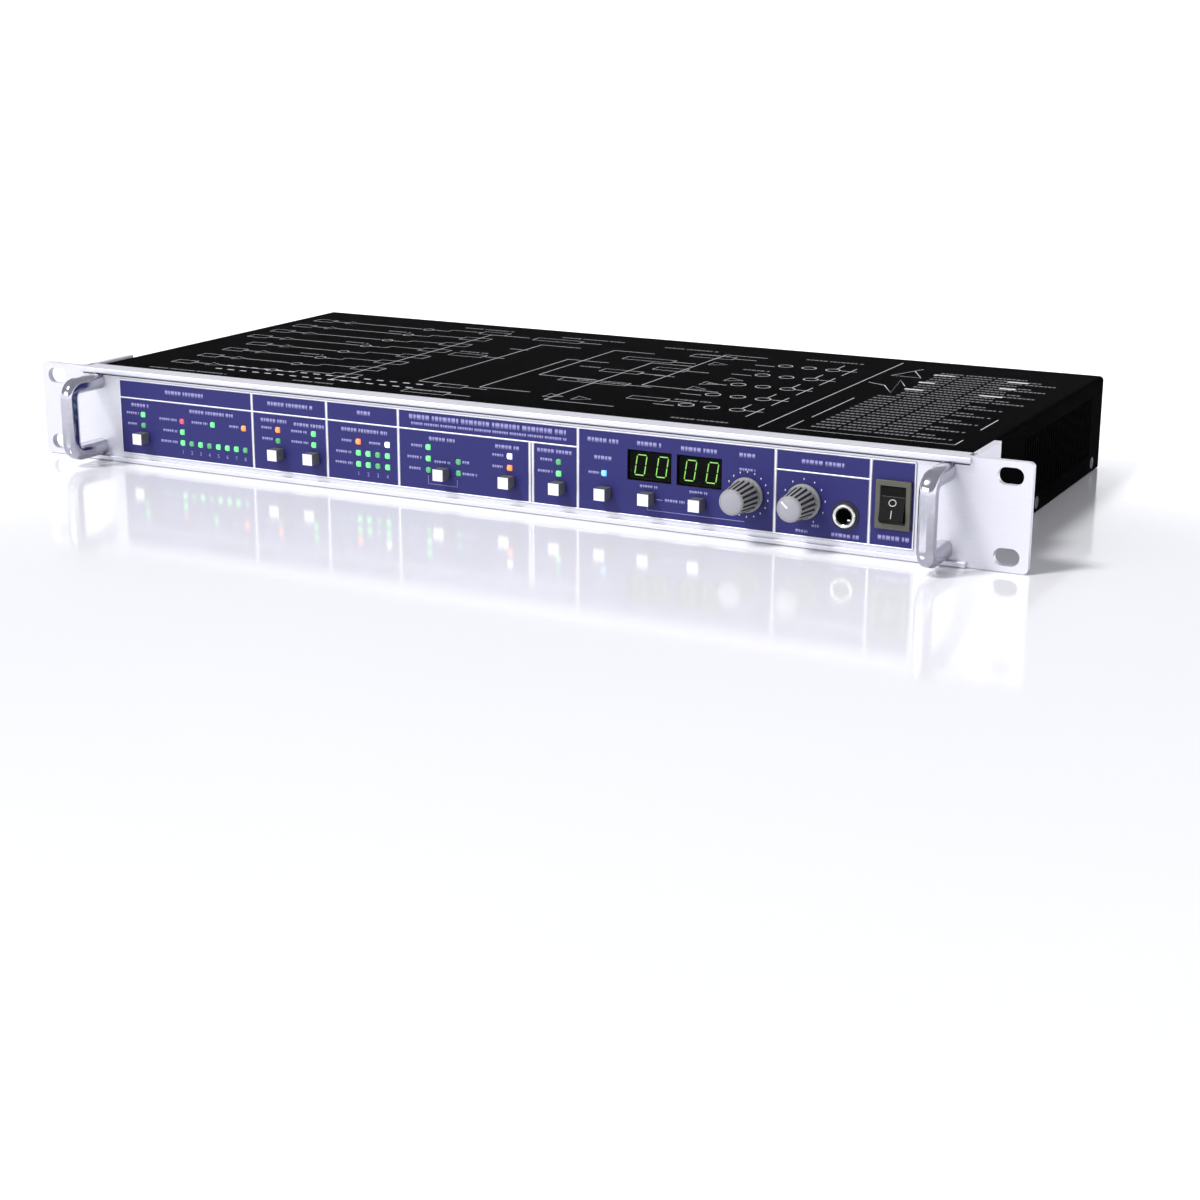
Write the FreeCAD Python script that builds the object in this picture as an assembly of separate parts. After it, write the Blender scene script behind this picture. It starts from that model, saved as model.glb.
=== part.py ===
import FreeCAD, Part
import math
import os
from FreeCAD import Vector

# One-unit rack audio interface, millimetres.
# +X is to the right seen from the front, the front faces -Y, +Z is up.
# The origin is the middle of the case's underside.

os.makedirs("parts", exist_ok=True)

# ---- Overall sizes
frame_width = 434.0          # front frame, between the two rack ears
panel_height = 43.7          # one rack unit
ear_width = 24.3             # each side, makes the standard 482.6 mm front
ear_thickness = 3.0
case_depth = 205.0           # front of the ears to the outer face of the rear panel
case_step = 2.0              # the case is this much narrower than the frame, each side
case_drop = 0.7              # the cover's top is this much lower than the frame's
sheet = 1.2                  # steel sheet of the tray and the cover
clearance = 0.2              # gap between pieces that are slipped together
screw_clearance = 0.1        # gap around a screw in its hole, on the radius

case_half = frame_width / 2 - case_step
case_top = panel_height - case_drop
panel_half = frame_width / 2 + ear_width
front = -case_depth / 2
rear = case_depth / 2

# ---- Front frame
web_thickness = 3.0
rail_proud = 2.0             # rails stand this much in front of the web
rail_height = 2.3
rail_depth = 8.0             # flanges reach this far behind the web's front
rail_round = 0.5

# ---- Printed foil on the web
foil_half = 195.0
foil_thickness = 0.4
foil_low = 4.4
foil_high = 39.1

# ---- Rack ears
slot_inset = 8.75            # slot centre to the ear's outer edge
slot_pitch = 31.75           # standard hole spacing, top to bottom
slot_length = 10.5
slot_width = 7.0
ear_corner = 2.0
bracket_thickness = 3.0      # leg that lies along the case's side
bracket_reach = 35.0
bracket_screw_pitch = 25.0

# ---- Handles
handle_x = 207.5
handle_width = 7.0
handle_reach = 25.0
handle_bar = 8.0
handle_post = 6.8
handle_margin = 0.3          # gap between a handle and the frame's rails
handle_bend = 9.0
handle_edge = 2.4

# ---- Screws
screw_radius = 1.45
head_radius = 2.75
head_height = 2.0
flat_head_height = 1.1
flat_screw_length = 6.0
connector_screw_radius = 1.25
connector_head_radius = 2.5
connector_head_height = 1.3
connector_screw_length = 9.0

# ---- Side vents
vent_width = 1.6
vent_pitch = 3.6
vent_count = 30
vent_low = 8.0
vent_high = 36.0
vent_from_rear = 20.0

# ---- Front controls
led_size = 2.5
led_proud = 0.15             # beyond the foil
led_pitch = 5.05
led_row = 12.3               # lowest light of the rows beside the number digits
led_row_high = 13.4          # lowest light of the other rows
button_size = 5.0
button_gap = 0.25
button_proud = 6.0
button_travel = 1.0
button_z = 12.8
button_corner = 0.5
button_places = (-181.8, -105.6, -86.4, -18.6, 13.8, 38.2, 59.8, 80.0, 103.0)
switch_size = 6.0
switch_height = 2.4

display_width = 19.8
display_height = 12.5
display_z = 25.9
display_places = (80.2, 102.8)
display_gap = 0.2

knob_z = 18.9
set_knob_x = 124.2
volume_knob_x = 149.0
knob_reach = 17.0
knob_gap = 0.6               # knob to foil
skirt_radius = 7.3
skirt_height = 3.0
cap_radius = 5.4
knob_flutes = 12
flute_radius = 0.7
shaft_radius = 3.0
shaft_play = 0.06
bushing_radius = 3.5
bushing_proud = 0.4
control_body = 12.0
pointer_width = 1.3
pointer_depth = 0.5
pointer_angle = 48.0         # degrees, the volume pointer rests this far left of straight up

jack_x = 166.6
jack_z = 15.0
jack_bore = 3.2
jack_sleeve = 4.4
jack_nut = 4.9
jack_washer = 5.8
jack_washer_height = 0.5
jack_nut_height = 1.6
jack_body_width = 12.5
jack_body_height = 14.0
jack_body_depth = 22.0

power_x = 186.6
power_z = 21.65
bezel_width = 14.5
bezel_height = 19.7
bezel_proud = 1.6
bezel_lip = 0.9              # bezel's face beyond the switch body, each side
rocker_width = 10.0
rocker_radius = 7.3
rocker_gap = 0.25
rocker_pivot = 0.3           # behind the foil's back
rocker_valley = 3.3          # fold of the rocker's face, above its pivot
rocker_flat = 1.6            # upper face, in front of the pivot
rocker_slope = 0.3           # lower face leans out by this much per millimetre
rocker_back = 5.5
switch_depth = 16.0

# ---- Boards
board_thickness = 1.6
front_board_setback = 10.0   # behind the web's front
front_board_left = -194.0
front_board_right = 157.0
front_board_low = 4.0
front_board_high = 38.0
post_radius = 2.3
post_places = ((-150, 35.3), (0, 35.3), (128, 35.3), (-150, 7.0), (0, 7.0), (112, 7.0))
main_board_x = (-205.0, 148.0)
power_board_x = (154.0, 206.0)
main_board_setback = 32.0
power_board_setback = 45.0
power_board_rear_gap = 28.0
standoff_radius = 3.0

# ---- Mains inlet
inlet_x = 188.7
inlet_z = 19.4
inlet_width = 31.0
inlet_height = 24.0
inlet_proud = 2.0
inlet_body_width = 27.4
inlet_body_height = 20.4
inlet_depth = 22.0
socket_width = 24.6
socket_height = 16.8
socket_depth = 17.0
socket_chamfer = 5.0
blade_width = 2.0
blade_height = 4.0
blade_pitch = 14.0
blade_rise = 4.0             # earth blade above the other two
blade_recess = 5.0

# ---- Nine-way D connector
dsub_x = 121.5
dsub_z = 30.0
dsub_width = 18.2
dsub_height = 9.6
dsub_wall = 0.8
dsub_proud = 5.6
dsub_corner = 2.2
dsub_lean = 10.0             # degrees, the D's sides
dsub_flange_width = 30.8
dsub_flange_height = 12.5
dsub_flange_thickness = 1.0
dsub_screw_pitch = 25.0
jackscrew_flats = 5.0
jackscrew_length = 5.0
dsub_pin_radius = 0.5
dsub_pin_pitch = 2.77
dsub_row_pitch = 2.84

# ---- Optical port
optical_x = 123.4
optical_z = 10.4
optical_width = 25.2
optical_height = 10.8
optical_proud = 1.0
optical_pitch = 12.4
optical_depth = 15.0
optical_lip = 1.0            # its face beyond its body, each side
port_width = 9.9
port_height = 8.4
port_depth = 12.5
shutter_gap = 0.25
shutter_recess = 1.2
shutter_thickness = 0.9

# ---- BNC sockets
bnc_columns = (92.0, 70.7)
bnc_rows = (13.2, 30.4)
bnc_reach = 14.5
bnc_barrel = 4.85
bnc_bore = 4.05
bnc_thread = 6.0
bnc_washer_radius = 8.4
bnc_washer_height = 1.0
bnc_nut_flats = 14.0
bnc_nut_height = 4.2
bnc_depth = 12.0
bnc_insulator = 2.5
bnc_contact = 1.05
bnc_lug_radius = 1.0
bnc_lug_reach = 0.75
bnc_lug_setback = 4.6

# ---- Termination button
term_x = 58.0
term_z = 28.2
term_width = 2.8
term_height = 3.4
term_proud = 0.9
term_travel = 0.6
term_depth = 8.0

# ---- XLR sockets
xlr_pitch = 25.1
xlr_male_first = 40.3
xlr_female_first = -60.8
xlr_count = 4
xlr_z = 18.6
xlr_ring = 10.8
xlr_proud = 1.8
xlr_bore = 9.5
xlr_male_depth = 16.0
xlr_body_width = 24.0
xlr_body_low = 6.2
xlr_body_high = 33.2
xlr_female_high = 36.5
xlr_body_depth = 24.0
xlr_pin_radius = 1.2
xlr_pin_circle = 4.4
xlr_pin_recess = 2.9
xlr_screw_x = 10.8
xlr_screw_z = 10.4
xlr_insert = 7.7
xlr_insert_proud = 0.6
xlr_groove_depth = 12.0
xlr_hole_radius = 1.6
xlr_hole_depth = 10.0
tab_width = 9.0
tab_height = 5.0
tab_low = 28.6
tab_proud = 3.0
tab_depth = 7.0
tab_travel = 1.5
tab_gap = 0.3

# ---- DIN sockets
din_places = (-165.7, -185.7)
din_z = 15.8
din_ring = 8.4
din_proud = 0.6
din_bore = 7.2
din_recess = 2.2
din_body = 18.0
din_depth = 14.0
din_hole_radius = 0.8
din_hole_circle = 4.45
din_hole_depth = 7.0


def span(middle, size):
    return middle - size / 2, middle + size / 2


def block(x, y, z):
    return Part.makeBox(x[1] - x[0], y[1] - y[0], z[1] - z[0], Vector(x[0], y[0], z[0]))


def rod(x, z, y, radius):
    return Part.makeCylinder(radius, y[1] - y[0], Vector(x, y[0], z), Vector(0, 1, 0))


def post(x, y, z, radius):
    return Part.makeCylinder(radius, z[1] - z[0], Vector(x, y, z[0]))


def cone(x, z, y, radii):
    return Part.makeCone(radii[0], radii[1], y[1] - y[0], Vector(x, y[0], z), Vector(0, 1, 0))


def hexagon(x, z, y, flats):
    radius = flats / math.sqrt(3)
    corners = [Vector(x + radius * math.cos(math.radians(60 * k)), y[0],
                      z + radius * math.sin(math.radians(60 * k))) for k in range(7)]
    return Part.Face(Part.makePolygon(corners)).extrude(Vector(0, y[1] - y[0], 0))


def prism(points, direction):
    closed = points + points[:1]
    return Part.Face(Part.makePolygon(closed)).extrude(direction)


def rounded(shape, radius, axis):
    """Round the straight edges of a block that run along one axis."""
    edges = [e for e in shape.Edges if is_along(e, axis)]
    return shape.makeFillet(radius, edges)


def is_along(edge, axis):
    if not isinstance(edge.Curve, Part.Line):
        return False
    return abs(abs(edge.Curve.Direction.dot(axis)) - 1) < 1e-6


def write(name, *shapes):
    solids = [solid for shape in shapes for solid in shape.Solids]
    whole = solids[0] if len(solids) == 1 else Part.makeCompound(solids)
    whole.exportStep(f"parts/{name}.step")


ALONG_X = Vector(1, 0, 0)
ALONG_Y = Vector(0, 1, 0)

foil_front = front - foil_thickness
web_back = front + web_thickness
board_front = front + front_board_setback
board_back = board_front + board_thickness
tray_inside = rear - sheet
board_top = optical_z - optical_height / 2 + optical_lip - clearance
board_low = board_top - board_thickness


# ---- Lights: which row and column each one sits in
def low_rows(step):
    return led_row + led_pitch * step


def high_rows(step):
    return led_row_high + led_pitch * step


channel_column = -159.6
option_column = -62.8
green_places = [(channel_column + led_pitch * k, low_rows(0)) for k in range(8)]
green_places += [(option_column + led_pitch * k, low_rows(r)) for r in (0, 1) for k in range(4)]
green_places += [(channel_column, low_rows(1)), (-142.2, low_rows(2))]
green_places += [(-182.0, high_rows(r)) for r in (1, 2)]
green_places += [(-105.9, high_rows(1)), (-86.5, high_rows(1)), (-86.5, high_rows(2))]
green_places += [(-26.6, high_rows(r)) for r in (0, 1, 2)]
green_places += [(-11.4, high_rows(r)) for r in (0, 1)]
green_places += [(37.7, high_rows(r)) for r in (1, 2)]
orange_places = [(-124.8, low_rows(2)), (-105.9, high_rows(2)), (option_column, low_rows(2))]
orange_places += [(14.0, high_rows(1))]
status_places = [(channel_column, low_rows(2)), (option_column + 3 * led_pitch, low_rows(2))]
status_places += [(14.0, high_rows(2)), (59.2, 20.9)]
led_places = green_places + orange_places + status_places


# ---- Openings that go through both the foil and the web
def front_cut(x, z, width, height):
    return block(span(x, width), (front - 5, web_back + 5), span(z, height))


def front_openings():
    lamp = led_size + clearance
    cuts = [front_cut(x, z, lamp, lamp) for x, z in led_places]
    key = button_size + 2 * button_gap
    cuts += [front_cut(x, button_z, key, key) for x in button_places]
    window_w = display_width + 2 * display_gap
    window_h = display_height + 2 * display_gap
    cuts += [front_cut(x, display_z, window_w, window_h) for x in display_places]
    for x in (set_knob_x, volume_knob_x):
        cuts.append(rod(x, knob_z, (front - 5, web_back + 5), bushing_radius + screw_clearance))
    cuts.append(rod(jack_x, jack_z, (front - 5, web_back + 5), jack_sleeve + screw_clearance))
    cuts.append(front_cut(power_x, power_z, bezel_width - 2 * bezel_lip + clearance,
                          bezel_height - 2 * bezel_lip + clearance))
    return cuts


# ---- Screws
def pan_screw(start, direction, length):
    """Pan-head screw: start is under the head, direction is the way the shank goes."""
    shank = Part.makeCylinder(screw_radius, length, start, direction)
    head_start = start - direction * head_height
    head = Part.makeCylinder(head_radius, head_height, head_start, direction)
    rim = [e for e in head.Edges if isinstance(e.Curve, Part.Circle)
           and (e.Curve.Center - head_start).Length < 1e-6]
    return head.makeFillet(head_height / 2, rim).fuse(shank).removeSplitter()


def flat_screw(x_face, y, z, side):
    """Countersunk screw in a side wall, its head flush with the outer face."""
    inward = Vector(-side, 0, 0)
    face = Vector(x_face, y, z)
    head = Part.makeCone(head_radius, screw_radius, flat_head_height, face, inward)
    return head.fuse(Part.makeCylinder(screw_radius, flat_screw_length, face, inward))


def flat_screw_hole(x_face, y, z, side):
    inward = Vector(-side, 0, 0)
    grown = screw_clearance
    face = Vector(x_face, y, z) - inward * grown
    head = Part.makeCone(head_radius + 2 * grown, screw_radius + grown,
                         flat_head_height + 2 * grown, face, inward)
    return head.fuse(Part.makeCylinder(screw_radius + grown, 2 * flat_screw_length, face, inward))


ear_outer = case_half + bracket_thickness
bracket_screw_y = front + (rail_depth + bracket_reach) / 2
bracket_screw_z = span(panel_height / 2, bracket_screw_pitch)
tray_flange = 7.2            # low side walls of the tray, behind the cover's sides
cover_screw_z = 4.2
cover_screw_y = (front + 55, 0, rear - 12)
flat_screws = [(ear_outer, bracket_screw_y, z) for z in bracket_screw_z]
flat_screws += [(case_half, y, cover_screw_z) for y in cover_screw_y]

handle_low = rail_height + handle_margin
handle_high = panel_height - rail_height - handle_margin
handle_screw_z = (handle_low + handle_post / 2, handle_high - handle_post / 2)
handle_screw_length = 14.0

standoff_places = [(x, y) for x in (main_board_x[0] + 6, -30, main_board_x[1] - 6)
                   for y in (front + main_board_setback + 6, 35)]
standoff_places += [(x, y) for x in (power_board_x[0] + 5, power_board_x[1] - 5)
                    for y in (front + power_board_setback + 5, rear - power_board_rear_gap - 5)]


# ---- D outline of the nine-way connector
def d_shape(x, z, y, width, height, corner):
    lean = height * math.tan(math.radians(dsub_lean))
    low, high = span(z, height)
    points = [Vector(x - width / 2, y[0], high), Vector(x + width / 2, y[0], high),
              Vector(x + width / 2 - lean, y[0], low), Vector(x - width / 2 + lean, y[0], low)]
    body = prism(points, Vector(0, y[1] - y[0], 0))
    return rounded(body, corner, ALONG_Y)


male_places = [xlr_male_first - xlr_pitch * k for k in range(xlr_count)]
female_places = [xlr_female_first - xlr_pitch * k for k in range(xlr_count)]
bnc_places = [(x, z) for x in bnc_columns for z in bnc_rows]
shutter_places = [optical_x + side * optical_pitch / 2 for side in (-1, 1)]


def xlr_screw_places(x):
    middle = xlr_z + 0.5
    return (x + xlr_screw_x, middle + xlr_screw_z), (x - xlr_screw_x, middle - xlr_screw_z)


# ---- Tray: floor, low side walls with tall front tabs, rear panel
def rear_cut(x, z, width, height):
    return block(span(x, width), (tray_inside - 5, rear + 5), span(z, height))


def rear_hole(x, z, radius):
    return rod(x, z, (tray_inside - 5, rear + 5), radius)


def rear_openings():
    cuts = [rear_cut(inlet_x, inlet_z, inlet_body_width + clearance, inlet_body_height + clearance)]
    grown = clearance
    cuts.append(d_shape(dsub_x, dsub_z, (tray_inside - 5, rear + 5),
                        dsub_width + grown, dsub_height + grown, dsub_corner))
    for x in span(dsub_x, dsub_screw_pitch):
        cuts.append(rear_hole(x, dsub_z, screw_radius + screw_clearance))
    cuts.append(rear_cut(optical_x, optical_z, optical_width - 2 * optical_lip + clearance,
                         optical_height - 2 * optical_lip + clearance))
    cuts += [rear_hole(x, z, bnc_thread + screw_clearance) for x, z in bnc_places]
    cuts.append(rear_cut(term_x, term_z, term_width + 2 * clearance, term_height + 2 * clearance))
    for x in male_places + female_places:
        cuts.append(rear_hole(x, xlr_z, xlr_ring + screw_clearance))
        for sx, sz in xlr_screw_places(x):
            cuts.append(rear_hole(sx, sz, connector_screw_radius + screw_clearance))
    for x in female_places:
        cuts.append(tab_slot(x, (tray_inside - 5, rear + 5)))
    cuts += [rear_hole(x, din_z, din_ring + screw_clearance) for x in din_places]
    return cuts


def tab_slot(x, y):
    return block(span(x, tab_width + 2 * tab_gap), y,
                 (tab_low - tab_gap, tab_low + tab_height + tab_gap))


def make_tray():
    half = case_half - sheet - clearance
    tray_front = front + rail_depth + clearance
    floor = block((-half, half), (tray_front, rear), (0, sheet))
    panel = block((-half, half), (tray_inside, rear), (0, case_top - sheet - clearance))
    tray = floor.fuse(panel)
    for side in (-1, 1):
        wall_x = sorted((side * half, side * (half - sheet)))
        tray = tray.fuse(block(wall_x, (tray_front, tray_inside), (0, tray_flange)))
        tab_high = case_top - sheet - 2.5
        tray = tray.fuse(block(wall_x, (tray_front, front + bracket_reach), (0, tab_high)))
    cuts = rear_openings()
    for side in (-1, 1):
        for x_face, y, z in flat_screws:
            cuts.append(flat_screw_hole(side * x_face, y, z, side))
    return tray.cut(cuts).removeSplitter()


# ---- Cover: top and both sides bent from one sheet, with the side vents
def u_section(half, top, y, bend, low):
    body = block((-half, half), y, (low, top))
    edges = [e for e in body.Edges if is_along(e, ALONG_Y) and e.CenterOfMass.z > top - 1e-6]
    return body.makeFillet(bend, edges)


def make_cover():
    y = (front + rail_depth + clearance, rear)
    inner_y = (y[0] - 1, y[1] + 1)
    bend = 2.0
    outer = u_section(case_half, case_top, y, bend, clearance)
    inner = u_section(case_half - sheet, case_top - sheet, inner_y, bend - sheet, -1)
    cover = outer.cut(inner)
    cuts = []
    for side in (-1, 1):
        wall = sorted((side * (case_half + 1), side * (case_half - sheet - 0.1)))
        for k in range(vent_count):
            middle = rear - vent_from_rear - vent_pitch * k
            slot = block(wall, span(middle, vent_width), (vent_low, vent_high))
            cuts.append(rounded(slot, vent_width / 2 - 0.05, ALONG_X))
        for x_face, y_screw, z in flat_screws:
            cuts.append(flat_screw_hole(side * x_face, y_screw, z, side))
    return cover.cut(cuts)


# ---- Front frame: web with a rail along the top and the bottom
def make_frame():
    half = frame_width / 2
    frame = block((-half, half), (front, web_back), (0, panel_height))
    for z in ((0, rail_height), (panel_height - rail_height, panel_height)):
        rail = block((-half, half), (front - rail_proud, front), z)
        rail_edges = [e for e in rail.Edges
                      if is_along(e, ALONG_X) and e.CenterOfMass.y < front - rail_proud + 1e-6]
        frame = frame.fuse(rail.makeFillet(rail_round, rail_edges))
        inner_half = case_half - clearance
        frame = frame.fuse(block((-inner_half, inner_half), (web_back, front + rail_depth), z))
    for x, z in post_places:
        frame = frame.fuse(rod(x, z, (web_back, board_front), post_radius))
    cuts = front_openings()
    for x, z in post_places:
        cuts.append(rod(x, z, (web_back + 1, board_front + 1), screw_radius + screw_clearance))
    for side in (-1, 1):
        for z in handle_screw_z:
            cuts.append(rod(side * handle_x, z, (front - 1, web_back + 1),
                            screw_radius + screw_clearance))
    return frame.cut(cuts).removeSplitter()


def make_foil():
    foil = block((-foil_half, foil_half), (foil_front, front), (foil_low, foil_high))
    return foil.cut(front_openings())


# ---- Rack ears: slotted plate with a leg along the case's side
def make_ear(side):
    inner = frame_width / 2
    plate = block(sorted((side * inner, side * panel_half)), (front, front + ear_thickness),
                  (0, panel_height))
    outer_edges = [e for e in plate.Edges
                   if is_along(e, ALONG_Y) and abs(e.CenterOfMass.x - side * panel_half) < 1e-6]
    plate = plate.makeFillet(ear_corner, outer_edges)
    leg = block(sorted((side * case_half, side * ear_outer)),
                (front + ear_thickness, front + bracket_reach), (0, panel_height))
    leg = leg.cut(block((-inner, inner), (front, front + rail_depth + clearance),
                        (-1, panel_height + 1)))
    stiffener = 2.0
    corner = [Vector(side * inner, front + ear_thickness, 0),
              Vector(side * (ear_outer + stiffener), front + ear_thickness, 0),
              Vector(side * ear_outer, front + ear_thickness + stiffener, 0),
              Vector(side * ear_outer, front + rail_depth + 1, 0),
              Vector(side * inner, front + rail_depth + 1, 0)]
    ear = plate.fuse([leg, prism(corner, Vector(0, 0, panel_height))])
    cuts = []
    for z in span(panel_height / 2, slot_pitch):
        slot_x = side * (panel_half - slot_inset)
        slot = block(span(slot_x, slot_length), (front - 1, front + ear_thickness + 1),
                     span(z, slot_width))
        cuts.append(rounded(slot, slot_width / 2 - 0.01, ALONG_Y))
    for z in bracket_screw_z:
        cuts.append(flat_screw_hole(side * ear_outer, bracket_screw_y, z, side))
    return ear.cut(cuts).removeSplitter()


# ---- Handles: polished bar bent into a U, tapped at both feet
def make_handle(side):
    x = span(side * handle_x, handle_width)
    tip = front - handle_reach
    outer = block(x, (tip, front), (handle_low, handle_high))
    tip_edges = [e for e in outer.Edges if is_along(e, ALONG_X) and e.CenterOfMass.y < tip + 1e-6]
    outer = outer.makeFillet(handle_bend, tip_edges)
    gap = block((x[0] - 1, x[1] + 1), (tip + handle_bar, front + 1),
                (handle_low + handle_post, handle_high - handle_post))
    gap_edges = [e for e in gap.Edges
                 if is_along(e, ALONG_X) and e.CenterOfMass.y < tip + handle_bar + 1e-6]
    handle = outer.cut(gap.makeFillet(handle_bend - 5, gap_edges))
    side_edges = [e for e in handle.Edges
                  if min(abs(v - e.CenterOfMass.x) for v in x) < 1e-6
                  and e.CenterOfMass.y < front - 1e-6]
    handle = handle.makeFillet(handle_edge, side_edges)
    holes = [rod(side * handle_x, z, (front - handle_screw_length + web_thickness - 1, front + 1),
                 screw_radius + screw_clearance) for z in handle_screw_z]
    return handle.cut(holes)


write("base_tray", make_tray())
write("top_cover", make_cover())
write("front_frame", make_frame())
write("front_foil", make_foil())
for side, word in ((-1, "left"), (1, "right")):
    write(f"rack_ear_{word}", make_ear(side))
    write(f"handle_{word}", make_handle(side))
write("case_screws", *[flat_screw(side * x, y, z, side)
                       for side in (-1, 1) for x, y, z in flat_screws])

# ---- Pan-head screws: handles from behind, front board into the posts, boards into standoffs
pan_screws = [pan_screw(Vector(side * handle_x, web_back, z), Vector(0, -1, 0),
                        handle_screw_length) for side in (-1, 1) for z in handle_screw_z]
pan_screws += [pan_screw(Vector(x, board_back, z), Vector(0, -1, 0), board_thickness + 5)
               for x, z in post_places]
pan_screws += [pan_screw(Vector(x, y, board_top), Vector(0, 0, -1),
                         board_top - sheet - 0.5) for x, y in standoff_places]
write("pan_head_screws", *pan_screws)
standoff = [post(x, y, (sheet, board_low), standoff_radius)
            .cut(post(x, y, (sheet - 1, board_low + 1), screw_radius + screw_clearance))
            for x, y in standoff_places]
write("board_standoffs", *standoff)


# ---- Lights: square clear windows that carry the light from the front board
def lights(places):
    return [block(span(x, led_size), (foil_front - led_proud, board_front), span(z, led_size))
            for x, z in places]


write("green_leds", *lights(green_places))
write("orange_leds", *lights(orange_places))
write("status_leds", *lights(status_places))
write("gain_displays", *[block(span(x, display_width), (foil_front, board_front),
                               span(display_z, display_height)) for x in display_places])

# ---- Push buttons and the switches behind them
switch_front = board_front - switch_height
button_back = switch_front - button_travel - 0.2
for number, x in enumerate(button_places, 1):
    cap = block(span(x, button_size), (front - button_proud, button_back),
                span(button_z, button_size))
    collar = block(span(x, button_size + 2), (web_back + 0.3, button_back),
                   span(button_z, button_size + 2))
    write(f"front_button_{number}", rounded(cap, button_corner, ALONG_Y).fuse(collar))
write("button_switches", *[block(span(x, switch_size), (switch_front, board_front),
                                 span(button_z, switch_size)) for x in button_places])


# ---- Knobs: skirted and fluted, on metal shafts in threaded bushings
def make_knob(x, pointer_turn=None):
    back = foil_front - knob_gap
    tip = front - knob_reach
    skirt_front = back - skirt_height
    knob = rod(x, knob_z, (skirt_front, back), skirt_radius)
    rim = [e for e in knob.Edges if isinstance(e.Curve, Part.Circle)
           and e.CenterOfMass.y < skirt_front + 1e-6]
    knob = knob.makeChamfer(1.0, rim)
    grip_radius = cap_radius + 0.7
    knob = knob.fuse(cone(x, knob_z, (tip, skirt_front), (cap_radius, grip_radius)))
    cuts = [rod(x, knob_z, (front - knob_reach + 4, back + 1), shaft_radius)]
    for k in range(knob_flutes):
        angle = 2 * math.pi * k / knob_flutes
        cuts.append(rod(x + grip_radius * math.cos(angle), knob_z + grip_radius * math.sin(angle),
                        (tip + 2.0, skirt_front), flute_radius))
    if pointer_turn is not None:
        slot = block(span(x, pointer_width), (tip - 1, tip + pointer_depth),
                     (knob_z, knob_z + cap_radius + 1))
        slot.rotate(Vector(x, 0, knob_z), ALONG_Y, -pointer_turn)
        cuts.append(slot)
    return knob.cut(cuts)


def make_shaft(x):
    return rod(x, knob_z, (front - knob_reach + 4, web_back + 2), shaft_radius)


def make_control(x):
    body = block(span(x, control_body), (web_back, board_front), span(knob_z, control_body))
    bushing = rod(x, knob_z, (foil_front - bushing_proud, web_back), bushing_radius)
    shaft_hole = rod(x, knob_z, (foil_front - 2, web_back + 3), shaft_radius + shaft_play)
    return body.fuse(bushing).cut(shaft_hole)


write("set_knob", make_knob(set_knob_x))
write("set_shaft", make_shaft(set_knob_x))
write("set_encoder", make_control(set_knob_x))
write("volume_knob", make_knob(volume_knob_x, pointer_angle))
write("volume_shaft", make_shaft(volume_knob_x))
write("volume_potentiometer", make_control(volume_knob_x))

# ---- Phones jack: body, sleeve, washer and ring nut
jack_body = block(span(jack_x, jack_body_width), (web_back, web_back + jack_body_depth),
                  span(jack_z, jack_body_height))
washer_y = (foil_front - jack_washer_height, foil_front)
nut_y = (washer_y[0] - jack_nut_height, washer_y[0])
jack_sleeve_rod = rod(jack_x, jack_z, (nut_y[0], web_back), jack_sleeve)
jack_hole = rod(jack_x, jack_z, (nut_y[0] - 1, web_back + jack_body_depth - 1.5), jack_bore)
jack_ring = rod(jack_x, jack_z, nut_y, jack_nut)
jack_rim = [e for e in jack_ring.Edges if isinstance(e.Curve, Part.Circle)
            and e.CenterOfMass.y < nut_y[0] + 1e-6]
jack_ring = jack_ring.makeFillet(0.5, jack_rim).cut(rod(jack_x, jack_z, nut_y, jack_sleeve))
washer = rod(jack_x, jack_z, washer_y, jack_washer).cut(rod(jack_x, jack_z, washer_y, jack_sleeve))
write("phones_jack", jack_body.fuse(jack_sleeve_rod).cut(jack_hole), jack_ring, washer)

# ---- Power switch: bezel with its hollow body, and the rocker in it
switch_w = bezel_width - 2 * bezel_lip
switch_h = bezel_height - 2 * bezel_lip
bezel = block(span(power_x, bezel_width), (foil_front - bezel_proud, foil_front),
              span(power_z, bezel_height))
bezel = rounded(bezel, 0.8, ALONG_Y)
switch_body = block(span(power_x, switch_w), (foil_front, front + switch_depth),
                    span(power_z, switch_h))
pivot_y = front + rocker_pivot
pocket = block(span(power_x, rocker_width + 2 * rocker_gap),
               (front - 5, pivot_y + rocker_radius + 0.6),
               span(power_z, 2 * (rocker_radius + rocker_gap)))
write("power_bezel", bezel.fuse(switch_body).cut(pocket).removeSplitter())


def make_rocker():
    x = power_x - rocker_width / 2
    disc = Part.makeCylinder(rocker_radius, rocker_width, Vector(x, pivot_y, power_z), ALONG_X)
    upper = pivot_y - rocker_flat
    fold_z = power_z + rocker_valley
    reach = 2 * rocker_radius
    lean = rocker_slope * (rocker_valley + reach)
    face = [Vector(x, upper, power_z + reach), Vector(x, upper, fold_z),
            Vector(x, upper - lean, power_z - reach),
            Vector(x, pivot_y + rocker_back, power_z - reach),
            Vector(x, pivot_y + rocker_back, power_z + reach)]
    return disc.common(prism(face, Vector(rocker_width, 0, 0)))


write("power_rocker", make_rocker())

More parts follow.
